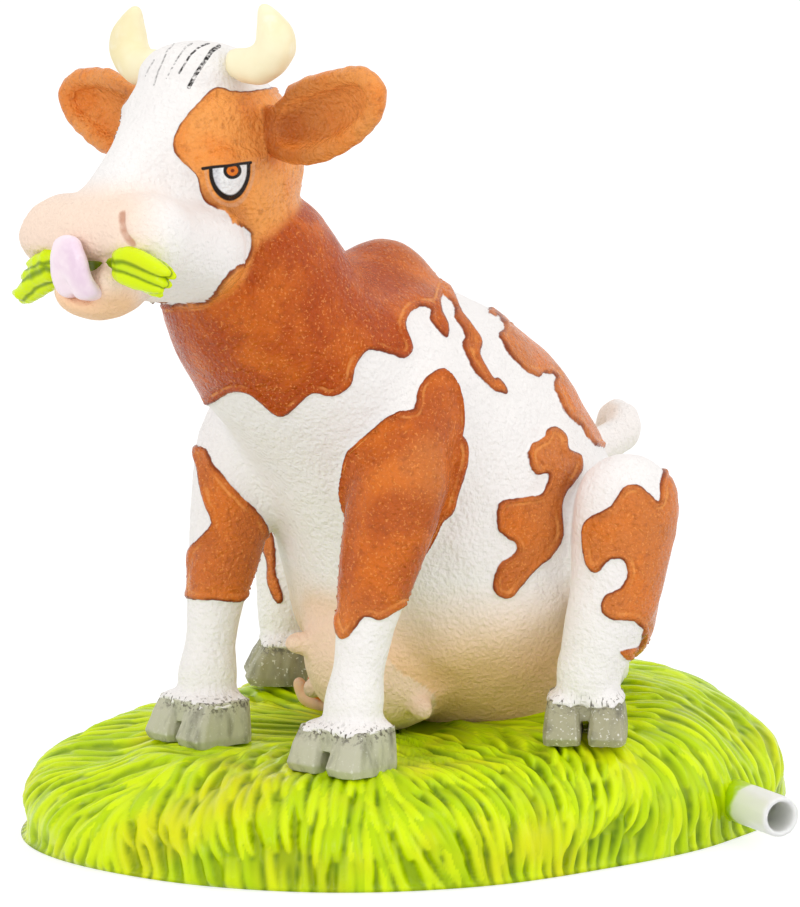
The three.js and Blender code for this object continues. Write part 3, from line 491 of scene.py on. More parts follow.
# Painted shade in the grooves between blades and a painted highlight along their backs
GROOVE_SHADE_SPAN = (0.8, 0.25)
GROOVE_SHADE_STRENGTH = 0.9
CREST_HIGHLIGHT_SPAN = (0.8, 1.0)
CREST_HIGHLIGHT_STRENGTH = 0.5
GRASS_ROUGH = 0.22
GRASS_SPECULAR = 0.18
GRASS_GRAIN = (0.5, 3.0)
GRASS_BUMP = (0.1, 0.5)

# Tube: the mound's green runs over it between two distances from its cut end
GREEN_SIZE = 2.5
GREEN_RAGGED = 5.0
GREEN_START_SPAN = (10.5, 12.5)
GREEN_END_SPAN = (26.0, 20.0)
CLOUD_SIZE = 3.0
TUBE_GRAIN = 1.0
TUBE_ROUGH = (0.25, 0.15)
TUBE_CLEAR = 0.12
TUBE_DEPTH = 3
TUBE_RIPPLE = 1.5
TUBE_BUMP = (0.05, 0.4)

# Studio
CLIP_END = 10.0
WORLD_LIGHT = 0.79
WORLD_SEEN = 1.0
FLOOR_SIDE = 3.0
FLOOR_DROP = 0.0002
FLOOR_GREY = (0.34, 0.34, 0.34, 1)
FLOOR_ROUGH = 0.9
FLOOR_LIGHT = 0.4
FLOOR_SEEN = 0.75
PURE_WHITE = (1, 1, 1, 1)


# Camera and outlines

def camera_axes():
    back = np.array([
        math.sin(AZIMUTH) * math.cos(ELEVATION),
        -math.cos(AZIMUTH) * math.cos(ELEVATION),
        math.sin(ELEVATION),
    ])
    right = np.array([math.cos(AZIMUTH), math.sin(AZIMUTH), 0.0])
    return right, np.cross(back, right), back


RIGHT, UP, BACK = camera_axes()


def pixels(points):
    """Where the photograph's camera sees each point."""
    offset = points - TARGET
    scale = PIXELS_PER_MM * DISTANCE / (DISTANCE - offset @ BACK)
    across = PHOTO[0] / 2 + offset @ RIGHT * scale
    down = PHOTO[1] / 2 - offset @ UP * scale
    return np.stack([across, down], axis=1)


def through(before, here, after, beyond, t):
    """A curve from here to after, at a share t of the way, bent to suit the points on both sides."""
    return 0.5 * (
        2 * here + (after - before) * t
        + (2 * before - 5 * here + 4 * after - beyond) * t ** 2
        + (3 * here - before - 3 * after + beyond) * t ** 3
    )


def rounded(outline, steps=3):
    """A closed outline through the same corners, with curved sides."""
    corner = np.array(outline, float)
    around = [np.roll(corner, turn, axis=0) for turn in (1, 0, -1, -2)]
    curve = [through(*around, step / steps) for step in range(steps)]
    return np.stack(curve, axis=1).reshape(-1, 2)


def off_line(points, start, end):
    """Distance of each point from a straight line, and how far along it the nearest spot lies."""
    run = end - start
    share = np.clip((points - start) @ run / (run @ run), 0, 1)
    return np.linalg.norm(points - start - share[..., None] * run, axis=-1), share


def off_lines(points, lines):
    """Distance of each point from the nearest of some lines through points."""
    nearest = np.full(len(points), np.inf)
    for line in lines:
        for start, end in zip(line, line[1:]):
            nearest = np.minimum(nearest, off_line(points, start, end)[0])
    return nearest


def inside(spots, outline):
    """Distance of each spot from a closed outline, positive inside it."""
    within = np.zeros(len(spots), bool)
    for start, end in zip(outline, np.roll(outline, -1, axis=0)):
        crosses = (start[1] > spots[:, 1]) != (end[1] > spots[:, 1])
        if crosses.any():
            slant = (end[0] - start[0]) / (end[1] - start[1])
            within ^= crosses & (spots[:, 0] - start[0] < (spots[:, 1] - start[1]) * slant)
    closed = np.vstack([outline, outline[:1]])
    return np.where(within, 1, -1) * off_lines(spots, [closed])


def smooth(share):
    return share * share * (3 - 2 * share)


def ease(value, low, high):
    return smooth(np.clip((value - low) / (high - low), 0, 1))


def gain(pair, share):
    """The first of a pair, with a share of the second added."""
    return pair[0] + pair[1] * share


def between(table, cell, share):
    """Values of a table that repeats, mixed from the eight cells round each place."""
    total = np.zeros(len(cell))
    for corner in np.ndindex(2, 2, 2):
        weight = np.prod(np.where(corner, share, 1 - share), axis=1)
        total += weight * table[tuple(((cell + corner) % table.shape).T)]
    return total


def lumps(points, size, seed):
    """Smooth random heights from -1 to 1 that vary over the given size."""
    table = np.random.default_rng(seed).uniform(-1, 1, (LUMP_TABLE,) * 3)
    place = points / size
    cell = np.floor(place).astype(int)
    return between(table, cell, smooth(place - cell))


# Distance fields

def box_mm(node):
    return [np.array(corner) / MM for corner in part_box(node)]


def cad_mesh(node):
    mesh = frame["nodes"][node].data
    mesh.calc_loop_triangles()
    points = np.empty(len(mesh.vertices) * 3, np.float32)
    mesh.vertices.foreach_get("co", points)
    corners = np.empty(len(mesh.loop_triangles) * 3, np.int32)
    mesh.loop_triangles.foreach_get("vertices", corners)
    return points.reshape(-1, 3) / MM, corners.reshape(-1, 3).astype(np.uint32)


def soften(field, reach):
    """Running means along each axis, over reach cells on both sides."""
    width = 2 * reach + 1
    for axis in range(3) if reach else ():
        line = np.moveaxis(field, axis, 0)
        for _ in range(SOFTEN_PASSES):
            ends = [(reach + 1, reach), (0, 0), (0, 0)]
            total = np.cumsum(np.pad(line, ends, mode="edge"), axis=0, dtype=np.float64)
            line = ((total[width:] - total[:-width]) / width).astype(np.float32)
        field = np.moveaxis(line, 0, axis)
    return field


def melt(first, second, reach):
    """The union of two fields with a fillet of the given reach."""
    share = np.clip(0.5 + 0.5 * (first - second) / reach, 0, 1)
    return first + (second - first) * share - reach * share * (1 - share)


def other_side(points, normals):
    """Points and normals in the mirror that halves the cow, and which lie on its right half.

    Above the neck the mirror leans and turns with the head.
    """
    share = ease(points[:, 2], *NECK_SPAN)
    lean, turned = HEAD_LEAN * share, HEAD_TURN * share
    level = np.cos(lean)
    across = np.stack([level * np.cos(turned), -level * np.sin(turned), np.sin(lean)], axis=1)
    depth = ((points - HEAD_PIVOT) * across).sum(axis=1, keepdims=True)
    turn = (normals * across).sum(axis=1, keepdims=True)
    return points - 2 * depth * across, normals - 2 * turn * across, depth[:, 0] < 0


class Field:
    """Distances from a surface, on cells in a box: negative inside."""

    def __init__(self, low, high, cell):
        self.cell = cell
        self.low = np.floor(np.array(low) / cell).astype(int)
        self.shape = tuple(np.ceil(np.array(high) / cell).astype(int) - self.low)
        self.far = BAND * cell
        self.value = np.full(self.shape, self.far, np.float32)

    def of_node(self, node, reach, thicken):
        """The field of a CAD part in this field's cells, and the slices that hold it."""
        points, triangles = cad_mesh(node)
        grid = openvdb.FloatGrid.createLevelSetFromPolygons(
            points, triangles=triangles, transform=openvdb.createLinearTransform(self.cell), halfWidth=BAND)
        box = self.slices(points, (BAND + SOFTEN_PASSES * reach) * self.cell)
        part = np.empty([side.stop - side.start for side in box], np.float32)
        grid.copyToArray(part, ijk=tuple(int(side.start + base) for side, base in zip(box, self.low)))
        return soften(part - thicken, reach), box

    def slices(self, points, reach):
        """Slices of the cells within reach of some points."""
        low = np.floor((points.min(axis=0) - reach) / self.cell).astype(int) - self.low
        high = np.ceil((points.max(axis=0) + reach) / self.cell).astype(int) - self.low
        return tuple(slice(a, b) for a, b in zip(np.maximum(low, 0), np.minimum(high, self.shape)))

    def places(self, box):
        """The places of the cells in some slices."""
        axes = [(np.arange(side.start, side.stop) + base) * self.cell for side, base in zip(box, self.low)]
        return np.stack(np.meshgrid(*axes, indexing="ij"), axis=-1)

    def add(self, box, form, reach):
        """Melt a form into some slices, or carve it out of them where reach is negative."""
        sign = math.copysign(1, reach)
        self.value[box] = sign * melt(sign * self.value[box], form, abs(reach))

    def taper(self, start, end, wide, narrow, reach):
        """Add a round bar from start to end."""
        ends = np.array([start, end], float)
        box = self.slices(ends, max(wide, narrow) + 2 * abs(reach) + self.cell)
        gap, share = off_line(self.places(box), *ends)
        self.add(box, gap - (wide + (narrow - wide) * share), reach)

    def trace(self, line, radius, reach):
        """Add round bars from point to point of a line."""
        for start, end in zip(line, line[1:]):
            self.taper(start, end, radius, radius, reach)

    def at(self, points, value=None):
        """The distance at each point, or another value of the cells, between the cells round it."""
        place = np.clip(points / self.cell - self.low, 0, np.array(self.shape) - LAST_CELL)
        cell = np.floor(place).astype(int)
        return between(self.value if value is None else value, cell, place - cell)

    def surface(self):
        """Points and four-sided faces of the surface, faces pointing out."""
        grid = openvdb.FloatGrid(self.far)
        grid.transform = openvdb.createLinearTransform(self.cell)
        grid.copyFromArray(np.ascontiguousarray(self.value), ijk=tuple(int(i) for i in self.low))
        grid.gridClass = openvdb.GridClass.LEVEL_SET
        points, faces = grid.convertToQuads(isovalue=0.0)
        return points.astype(float), faces[:, ::-1].astype(int)


def on_casting(field, spot):
    """The nearest point to the camera where its ray through a pixel meets the field's surface."""
    across = (spot[0] - PHOTO[0] / 2) / PIXELS_PER_MM
    down = (spot[1] - PHOTO[1] / 2) / PIXELS_PER_MM
    middle = TARGET + RIGHT * across - UP * down
    eye = TARGET + BACK * DISTANCE
    ray = (middle - eye) / np.linalg.norm(middle - eye)
    steps = np.arange(DISTANCE - RAY_REACH, DISTANCE + RAY_REACH, CELL / 2)
    path = eye + steps[:, None] * ray
    hits = np.nonzero(field.at(path) < 0)[0]
    return path[hits[0]]


def point_normals(points, faces):
    corner = points[faces]
    across = np.cross(corner[:, 2] - corner[:, 0], corner[:, 3] - corner[:, 1])
    normals = np.stack([
        sum(np.bincount(faces[:, k], across[:, axis], len(points)) for k in range(4)) for axis in range(3)
    ], axis=1)
    return normals / np.maximum(np.linalg.norm(normals, axis=1, keepdims=True), TINY)


def sharpness(points, faces):
    """How far each point stands out of its neighbours' middle along its normal, in millimetres."""
    corners = faces.ravel()
    beside = [np.roll(faces, turn, axis=1).ravel() for turn in (1, -1)]
    count = 2 * np.bincount(corners, minlength=len(points))
    middle = points
    for _ in range(SHARP_PASSES):
        middle = np.stack([
            sum(np.bincount(corners, middle[near, axis], len(points)) for near in beside) / count
            for axis in range(3)
        ], axis=1)
    return ((points - middle) * point_normals(points, faces)).sum(axis=1)


# Pieces

def make_piece(name, points, faces, material, slot, node, values=None, normals=None):
    """A named mesh that rides on the ornament and stands for its CAD node."""
    mesh = bpy.data.meshes.new(name)
    mesh.from_pydata((points * MM).tolist(), [], faces)
    mesh.polygons.foreach_set("use_smooth", [True] * len(mesh.polygons))
    for label, value in (values or {}).items():
        kind, field = ("FLOAT", "value") if value.ndim == 1 else ("FLOAT_VECTOR", "vector")
        attribute = mesh.attributes.new(label, kind, "POINT")
        attribute.data.foreach_set(field, value.astype(np.float32).ravel())
    if normals is not None:
        mesh.normals_split_custom_set_from_vertices(normals.tolist())
    mesh.materials.append(material)
    piece = bpy.data.objects.new(name, mesh)
    bpy.context.scene.collection.objects.link(piece)
    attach(piece, "root")
    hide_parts(node)


def open_edges(faces, count):
    """Starts and ends of the edges that only one of some faces has."""
    starts = faces.ravel()
    ends = np.roll(faces, -1, axis=1).ravel()
    alone = ~np.isin(starts * count + ends, ends * count + starts)
    return starts[alone], ends[alone]


def cut_out(own, points, normals):
    """A part's own faces of the casting, closed by a lip turned inwards along their cut edge."""
    used, index = np.unique(own, return_inverse=True)
    faces_out = index.reshape(-1, 4).tolist()
    place = {int(v): i for i, v in enumerate(used)}
    starts, ends = open_edges(own, len(points))
    after = dict(zip(starts.tolist(), ends.tolist()))
    inner = {v: len(used) + i for i, v in enumerate(after)}
    source = used.tolist() + list(after)
    spots = points[source]
    spots[len(used):] -= normals[list(after)] * CAP_DEPTH
    left = set(after)
    middles = []
    while left:
        loop = [left.pop()]
        while after[loop[-1]] in left:
            left.remove(after[loop[-1]])
            loop.append(after[loop[-1]])
        hub = len(source)
        source.append(loop[0])
        middles.append(spots[[inner[v] for v in loop]].mean(axis=0))
        for a, b in zip(loop, loop[1:] + loop[:1]):
            faces_out.append([place[b], place[a], inner[a], inner[b]])
            faces_out.append([inner[b], inner[a], hub])
    if middles:
        spots = np.vstack([spots, middles])
    return spots, faces_out, np.array(source)


def single_edges(faces, owner, count):
    """Relabel faces where a part's cut edge would touch itself at a point."""
    owner = owner.copy()
    for _ in range(RELABEL_PASSES):
        changed = False
        for part in range(len(PARTS)):
            starts = open_edges(faces[owner == part], count)[0]
            pinched = np.bincount(starts, minlength=count) > 1
            if pinched.any():
                owner[pinched[faces].any(axis=1)] = part
                changed = True
        if not changed:
            break
    return owner


# Materials

def linear(colour):
    """A colour as it is seen, by the standard curve, in the light that a shader reckons with."""
    share = np.array(colour) / 255
    value = np.where(share <= 0.04045, share / 12.92, ((share + 0.055) / 1.055) ** 2.4)
    return (*value.tolist(), 1.0)


class Wire:
    """A value in a node tree: each sign adds the node that reckons with it."""

    def __init__(self, paint, socket):
        self.paint = paint
        self.socket = socket

    def __add__(self, other):
        return self.paint.math("ADD", self, other)

    def __sub__(self, other):
        return self.paint.math("SUBTRACT", self, other)

    def __mul__(self, other):
        return self.paint.math("MULTIPLY", self, other)

    def __abs__(self):
        return self.paint.math("ABSOLUTE", self)


class Paint:
    """The nodes of a material or a world, built by short calls that return wires."""

    def __init__(self, owner, shader="Principled BSDF"):
        owner.use_nodes = True
        self.owner = owner
        self.tree = owner.node_tree
        self.shader = self.tree.nodes[shader]

    def make(self, kind, output, inputs=None, **settings):
        """An output of a new node."""
        node = self.tree.nodes.new(kind)
        for key, value in settings.items():
            setattr(node, key, value)
        for key, value in (inputs or {}).items():
            self.put(node.inputs[key], value)
        return Wire(self, node.outputs[output])

    def put(self, socket, value):
        if isinstance(value, Wire):
            self.tree.links.new(value.socket, socket)
        else:
            socket.default_value = value

    def set(self, name, value):
        self.put(self.shader.inputs[name], value)

    def math(self, operation, *values):
        return self.make("ShaderNodeMath", 0, dict(enumerate(values)), operation=operation)

    def ease(self, value, low, high):
        inputs = {"Value": value, "From Min": low, "From Max": high}
        return self.make("ShaderNodeMapRange", "Result", inputs, interpolation_type="SMOOTHSTEP")

    def within(self, distance, radius, soft=1.0):
        """Full inside a radius, softened inwards from it."""
        return self.ease(distance, radius, radius - soft)

    def over(self, colour, *coats):
        """A colour under some coats, each with its share; a mix node's colours are its sockets 6 and 7."""
        for share, coat in coats:
            first, second = (c if isinstance(c, Wire) else linear(c) for c in (colour, coat))
            colour = self.make("ShaderNodeMix", 2, {0: share, 6: first, 7: second}, data_type="RGBA")
        return colour

    def value(self, name):
        return self.make("ShaderNodeAttribute", "Fac", attribute_name=name)

    def spot(self, name):
        return self.split(self.make("ShaderNodeAttribute", "Vector", attribute_name=name))

    def split(self, vector):
        """The first two coordinates of a vector."""
        return [self.make("ShaderNodeSeparateXYZ", axis, {0: vector}) for axis in (0, 1)]

    def place(self):
        return self.make("ShaderNodeTexCoord", "Object")

    def noise(self, size, detail=2.0, stretch=None):
        """Noise from 0 to 1 that varies over the given size, drawn out along an axis by stretch."""
        place = self.place()
        if stretch:
            place = self.make("ShaderNodeMapping", 0, {"Vector": place, "Scale": stretch})
        inputs = {"Vector": place, "Scale": 1 / (size * MM), "Detail": detail}
        return self.make("ShaderNodeTexNoise", "Fac", inputs)

    def patchy(self, size, detail, low, high, stretch=None):
        """Noise that shows between two of its levels."""
        return self.ease(self.noise(size, detail, stretch), low, high)

    def length(self, x, y):
        return self.math("SQRT", x * x + y * y)

    def segment(self, spot, start, end):
        """Distance of the spot from a straight line between two pixels."""
        run = np.subtract(end, start).astype(float)
        scale = run / (run @ run)
        x, y = (wire - middle for wire, middle in zip(spot, start))
        share = self.math("MAXIMUM", x * scale[0] + y * scale[1], 0.0)
        share = self.math("MINIMUM", share, 1.0)
        return self.length(x - share * run[0], y - share * run[1])

    def polyline(self, spot, line):
        """Distance of the spot from a line through several pixels."""
        gaps = (self.segment(spot, start, end) for start, end in zip(line, line[1:]))
        return reduce(partial(self.math, "MINIMUM"), gaps)

    def seen_rays(self, lighting, seen):
        """A strength that differs for rays that show the backdrop itself."""
        kinds = ("Is Camera Ray", "Is Glossy Ray", "Is Transmission Ray")
        rays = (self.make("ShaderNodeLightPath", kind) for kind in kinds)
        return reduce(partial(self.math, "MAXIMUM"), rays) * (seen - lighting) + lighting

    def finish(self, colour, rough, height, depth, strength=1.0):
        """The material with its colour, its roughness and a bump of the given depth."""
        inputs = {"Strength": strength, "Distance": depth * MM, "Height": height}
        self.set("Base Color", colour)
        self.set("Roughness", rough)
        self.set("Normal", self.make("ShaderNodeBump", 0, inputs))
        return self.owner


def new_paint(name):
    return Paint(bpy.data.materials.new(name))


def hide_paint(name, with_face=False):
    """White resin with glossy brown patches, and on the head the drawn eye and hair."""
    paint = new_paint(name)
    edge = paint.value("brown") + (paint.noise(WOBBLE_SIZE) - 0.5) * WOBBLE
    patch = paint.ease(edge, *PAINT_SPAN)
    colour = paint.over(white_tone(paint), (patch, brown_tone(paint, edge)))
    if with_face:
        colour = drawn_face(paint, drawn_eye(paint, colour))
    paint.set("Specular IOR Level", HIDE_SPECULAR)
    pebbles = paint.noise(*PEBBLE) * (patch + WHITE_PEBBLE)
    return paint.finish(colour, patch * BROWN_SMOOTHER + WHITE_ROUGH, pebbles, *PEBBLE_BUMP)


def white_tone(paint):
    """White with rose and blush, the rose deepened as painted shade on one side of the tail, and dirty hairs
    along the hems.
    """
    return paint.over(
        WHITE,
        (paint.noise(SHADE_SIZE), WHITE_SHADE),
        (paint.value("rose_and_tail_shade"), NOSE),
        (paint.value("blush"), BLUSH),
        (paint.patchy(*HEM_HAIRS, HAIR_STRETCH) * paint.value("hem"), HEM_SPECK),
    )


def brown_tone(paint, edge):
    """Worn, mottled brown with painted highlight and shade; a pale line and a dark one along its edge, rubbed
    off in places.
    """
    rubbed = paint.noise(RUB_SIZE)
    pale = paint.ease(abs(edge - PATCH_LINE_IN), *PALE_SPAN) * paint.ease(rubbed, *PALE_RUB_SPAN)
    dark = paint.ease(edge, *DARK_SPAN) * paint.ease(rubbed, *DARK_RUB_SPAN)
    return paint.over(
        BROWN,
        # Wear, and painted highlight on ridges and sharp edges
        (paint.value("wear_and_sheen"), BROWN_WEAR_AND_SHEEN),
        *((paint.patchy(*noise) * strength, coat) for noise, strength, coat in BROWN_NOISE),
        # Painted shade in the ears' bowls and in hollows
        (paint.value("bowl_and_hollow_shade"), BROWN_DARK),
        (pale * PALE_STRENGTH, BROWN_WEAR_AND_SHEEN),
        (dark * DARK_STRENGTH, BROWN_DARK),
    )


def drawn_eye(paint, colour):
    """Socket, eyeball, iris, pupil and ink ring below the inked edge of the lid, on both sides."""
    spot = paint.spot("folded")
    x, y = ((wire - at) * (1 / size) for wire, at, size in zip(spot, EYE_WHITE, EYE_WHITE_SIZE))
    ball = (paint.length(x, y) - 1.0) * EYE_WHITE_SIZE[0]
    iris = paint.length(*(wire - at for wire, at in zip(spot, IRIS)))
    shade = paint.ease(spot[0], *EYE_SHADE_SPAN) * paint.noise(*EYE_GRAIN)
    coats = [
        (paint.within(abs(ball - SOCKET_GAP), *SOCKET_LINE) * SOCKET_STRENGTH, SOCKET),
        (paint.within(ball, EYE_EDGE), paint.over(WHITE, (shade, EYE_SHADE))),
        (paint.within(iris, IRIS_SIZE), INK),
        (paint.within(iris, IRIS_SIZE - IRIS_LINE), BROWN_LIGHT),
        (paint.within(iris, PUPIL_SIZE), BROWN_DARK),
        (paint.within(abs(ball), (EYE_LINE + EYE_SOFT) / 2, EYE_SOFT), INK),
    ]
    (left, left_down), (right, right_down) = LID
    slope = (right_down - left_down) / (right - left)
    below = spot[1] - (spot[0] * slope + (left_down - slope * left))
    near = paint.value("eye_zone")
    open_eye = near * paint.ease(below, -EYE_SOFT / 2, EYE_SOFT / 2)
    lid = paint.within(paint.polyline(spot, LID), LID_LINE)
    return paint.over(colour, *((open_eye * share, coat) for share, coat in coats), (near * lid, INK))


def drawn_face(paint, colour):
    """The nostrils' shade and the hair strokes on the forehead."""
    slit = paint.within(paint.value("slit"), *SLIT_EDGE) * SLIT_STRENGTH
    spot = paint.spot("plain")
    dry = paint.patchy(*DRY_BRUSH) * paint.value("brow_zone")
    strokes = [
        (paint.within(paint.polyline(spot, line), half + STROKE_EDGE, STROKE_SOFT) * dry * strength, INK)
        for half, strength, line in HAIR_STROKES
    ]
    return paint.over(colour, (slit, SLIT), *strokes)


def brushed_paint(name):
    """Two brushed tones over a main colour, with a fine grain."""
    main, dark, light, rough, grain = BRUSHED[name]
    paint = new_paint(name)
    tones = [
        (paint.patchy(grains * grain, *noise), coat)
        for (grains, *noise), coat in ((BRUSHED_DARK, dark), (BRUSHED_LIGHT, light))
    ]
    wear_and_sheen = paint.noise(grain) * BRUSHED_ROUGH + rough
    return paint.finish(paint.over(main, *tones), wear_and_sheen, paint.noise(grain, BRUSHED_DETAIL), BRUSHED_BUMP)


def hoof_paint(name, main, specks):
    """Grey with dry-brushed edges, painted shade in the cleft, dark specks below the hem, and pale specks."""
    paint = new_paint(name)
    edge = paint.value("edge")
    rub = paint.noise(*HOOF_RUB)
    colour = paint.over(
        main,
        (paint.patchy(*STREAKS, STREAK_STRETCH) * STREAK_STRENGTH, HOOF_DARK),
        # Painted shade in the cleft
        (paint.ease(edge, *CLEFT_SHADE_SPAN), HOOF_DARK),
        (paint.ease(edge, *HOOF_EDGE_SPAN) * paint.ease(rub, *HOOF_RUB_SPAN), HOOF_LIGHT),
        (paint.patchy(*HOOF_SPECKS) * specks, HOOF_LIGHT),
        # Dark specks, thickest just under the coat's hem
        (paint.patchy(*HOOF_TOP_SPECKS) * paint.value("hem"), HEM_SPECK),
    )
    return paint.finish(colour, HOOF_ROUGH, rub, *HOOF_BUMP)


def grass_paint():
    """Lime blades, yellowed in places, with painted shade in the grooves and a painted highlight along their
    backs.
    """
    paint = new_paint("grass_paint")
    ridge = paint.value("ridge")
    colour = paint.over(
        LIME,
        (paint.ease(paint.value("tint"), *TINT_SPAN), LIME_LIGHT),
        (paint.patchy(*YELLOWED) * YELLOW_STRENGTH, YELLOW),
        # Painted shade in the grooves, painted highlight along the backs
        (paint.ease(ridge, *GROOVE_SHADE_SPAN) * GROOVE_SHADE_STRENGTH, LIME_DARK),
        (paint.ease(ridge, *CREST_HIGHLIGHT_SPAN) * CREST_HIGHLIGHT_STRENGTH, LIME_LIGHT),
    )
    paint.set("Specular IOR Level", GRASS_SPECULAR)
    return paint.finish(colour, GRASS_ROUGH, paint.noise(*GRASS_GRAIN), *GRASS_BUMP)


def tube_paint(axis, end):
    """Translucent silicone, with the mound's green run over its root."""
    paint = new_paint("tube_silicone")
    x, y = paint.split(paint.place())
    from_end = x * (-axis[0] / MM) + y * (-axis[1] / MM) + float(end @ axis)
    ragged = from_end + paint.noise(GREEN_SIZE) * GREEN_RAGGED
    green = paint.ease(ragged, *GREEN_START_SPAN) * paint.ease(from_end, *GREEN_END_SPAN)
    colour = paint.over(TUBE, (paint.noise(CLOUD_SIZE), TUBE_CLOUD), (green, LIME))
    paint.set("Transmission Weight", TUBE_CLEAR)
    paint.set("Subsurface Weight", 1.0)
    paint.set("Subsurface Radius", (TUBE_DEPTH * MM,) * 3)
    rough = paint.noise(TUBE_GRAIN) * TUBE_ROUGH[1] + TUBE_ROUGH[0]
    return paint.finish(colour, rough, paint.noise(TUBE_RIPPLE), *TUBE_BUMP)


# The cow

def casting_field():
    """The cow's parts melted into one field, the part that each cell is nearest to, and each part's field."""
    lows, highs = zip(*[box_mm(node) for node in PARTS])
    low, high = np.min(lows, axis=0) - MARGIN, np.max(highs, axis=0) + MARGIN
    field = Field(low, high, CELL)
    nearest = np.full(field.shape, np.inf, np.float32)
    owner = np.zeros(field.shape, np.int8)
    own = {}
    for index, (node, (reach, fillet, thicken)) in enumerate(CASTING.items()):
        part, box = field.of_node(node, reach, thicken)
        if fillet:
            field.add(box, part, fillet)
        else:
            field.value[box] = part
        owner[box][part < nearest[box]] = index
        nearest[box] = np.minimum(nearest[box], part)
        own[node] = Field(low, high, CELL)
        own[node].value[box] = part
    return field, owner, own


def fetlock_hair(field):
    """The coat runs down over the top of each hoof and ends in a ragged hem."""
    for node in HOOVES:
        top = box_mm(node)[1][2]
        hoof, box = field.of_node(node, 1, HEM_OVERLAP)
        places = field.places(box)
        locks = lumps((places * HEM_STRETCH).reshape(-1, 3), HEM_LOCK, SEED).reshape(hoof.shape)
        hem = top - HEM_DROP + HEM_RAGGED * locks - places[..., 2]
        field.add(box, np.maximum(hoof, hem), HEM_FLARE)


def near_hem(points):
    """How close each point of the coat is to a hoof's top."""
    close = np.zeros(len(points))
    for node in HOOVES:
        low, high = box_mm(node)
        aside = np.linalg.norm(points[:, :2] - (low + high)[:2] / 2, axis=1)
        beside = aside < (high - low)[:2].max() * HEM_ROOM
        close = np.maximum(close, beside * ease(points[:, 2] - high[2], *HEM_SPAN))
    return close


def shape_ear(field, node):
    """Hollow out the front of an ear and roll its rim, along the CAD part's own axes."""
    points, _ = cad_mesh(node)
    middle = points.mean(axis=0)
    axes = np.linalg.svd(points - middle, full_matrices=False)[2]
    axes[0] *= np.sign(axes[0][0] * middle[0])
    axes[2] *= -np.sign(axes[2][1])
    reach = (points - middle) @ axes.T
    ear_bowl(field, points, middle, axes, reach)
    ear_rim(field, points, middle, axes, reach)


def ear_bowl(field, points, middle, axes, reach):
    low, high = reach.min(axis=0), reach.max(axis=0)
    half = (high - low) / 2 - EAR_RIM
    half[2] = BOWL_DEPTH
    centre = middle + np.array([(low[0] + high[0]) / 2 + BOWL_SHIFT, (low[1] + high[1]) / 2, high[2]]) @ axes
    box = field.slices(points, BOWL_ROOM)
    local = ((field.places(box) - centre) @ axes.T) / half
    field.add(box, (np.linalg.norm(local, axis=-1) - 1) * half.min(), -BOWL_FILLET)


def ear_rim(field, points, middle, axes, reach):
    low, high = reach[:, 0].min(), reach[:, 0].max()
    turns = np.arange(RIM_STATIONS) * 2 * math.pi / RIM_STATIONS
    edge = [points[np.argmax(reach[:, :2] @ (math.cos(turn), math.sin(turn)))] for turn in turns]
    edge = np.array(edge) + (middle - edge) * RIM_INSET
    edge = np.mean([np.roll(edge, step, axis=0) for step in RIM_SMOOTHING], axis=0)
    free = (edge - middle) @ axes[0] > low + RIM_ROOT * (high - low)
    for start, end, rolled in zip(edge, np.roll(edge, -1, axis=0), free & np.roll(free, -1)):
        if rolled and (start != end).any():
            field.trace([start, end], RIM_RADIUS, RIM_FILLET)


def both_sides(field, outline, shift=(0, 0)):
    """Points of the head's left side under some pixels, and their images on its right after a shift."""
    left = np.array([on_casting(field, spot) for spot in outline])
    moved = np.array([on_casting(field, np.add(spot, shift)) for spot in outline])
    return left, other_side(moved, moved)[0]


def carve_face(field):
    """A lower lip, heavy lids over the eyes and slit nostrils. Returns the nostrils' lines."""
    slits = both_sides(field, NOSTRIL, HIDDEN_NOSTRIL_SHIFT)
    field.trace([on_casting(field, spot) for spot in LIP], LIP_RADIUS, LIP_FILLET)
    for lid in both_sides(field, LID_FOLD):
        field.trace(lid, LID_RADIUS, LID_FILLET)
    for slit in slits:
        field.trace(slit, SLIT_RADIUS, -SLIT_FILLET)
    return slits


def painted(spots, curve):
    """Depth in millimetres inside an outline of pixels, worked out only near it."""
    low, high = curve.min(axis=0) - PATCH_SEARCH, curve.max(axis=0) + PATCH_SEARCH
    close = ((spots > low) & (spots < high)).all(axis=1)
    depth = np.full(len(spots), -PATCH_SEARCH / PIXELS_PER_MM)
    depth[close] = inside(spots[close], curve) / PIXELS_PER_MM
    return depth


def patch_values(points, normals, gap):
    """How far inside the brown paint each point lies."""
    mirrored, turned, _ = other_side(points, normals)
    plain = pixels(points)
    mirrored = pixels(mirrored)
    facing = normals @ BACK
    hidden = np.maximum(-facing - GRAZING, 0)
    hidden_mirrored = np.maximum(-turned @ BACK - GRAZING, 0) + np.maximum(facing + SEEN_SIDE, 0)
    brown = np.full(len(points), BARE)
    for outline, nodes, repeat in PATCHES:
        curve = rounded(outline)
        off = PATCH_FALL * np.maximum(np.min([gap[node] for node in nodes], axis=0) - PATCH_ROOM, 0)
        brown = np.maximum(brown, painted(plain, curve) - off - TURN_AWAY * hidden)
        if repeat:
            again = painted(mirrored, curve + np.array(repeat))
            brown = np.maximum(brown, again - off - TURN_AWAY * hidden_mirrored)
    for ear in EARS:
        brown = np.maximum(brown, EAR_BROWN * (1 - np.maximum(gap[ear] - EAR_ROOM, 0)))
    return brown


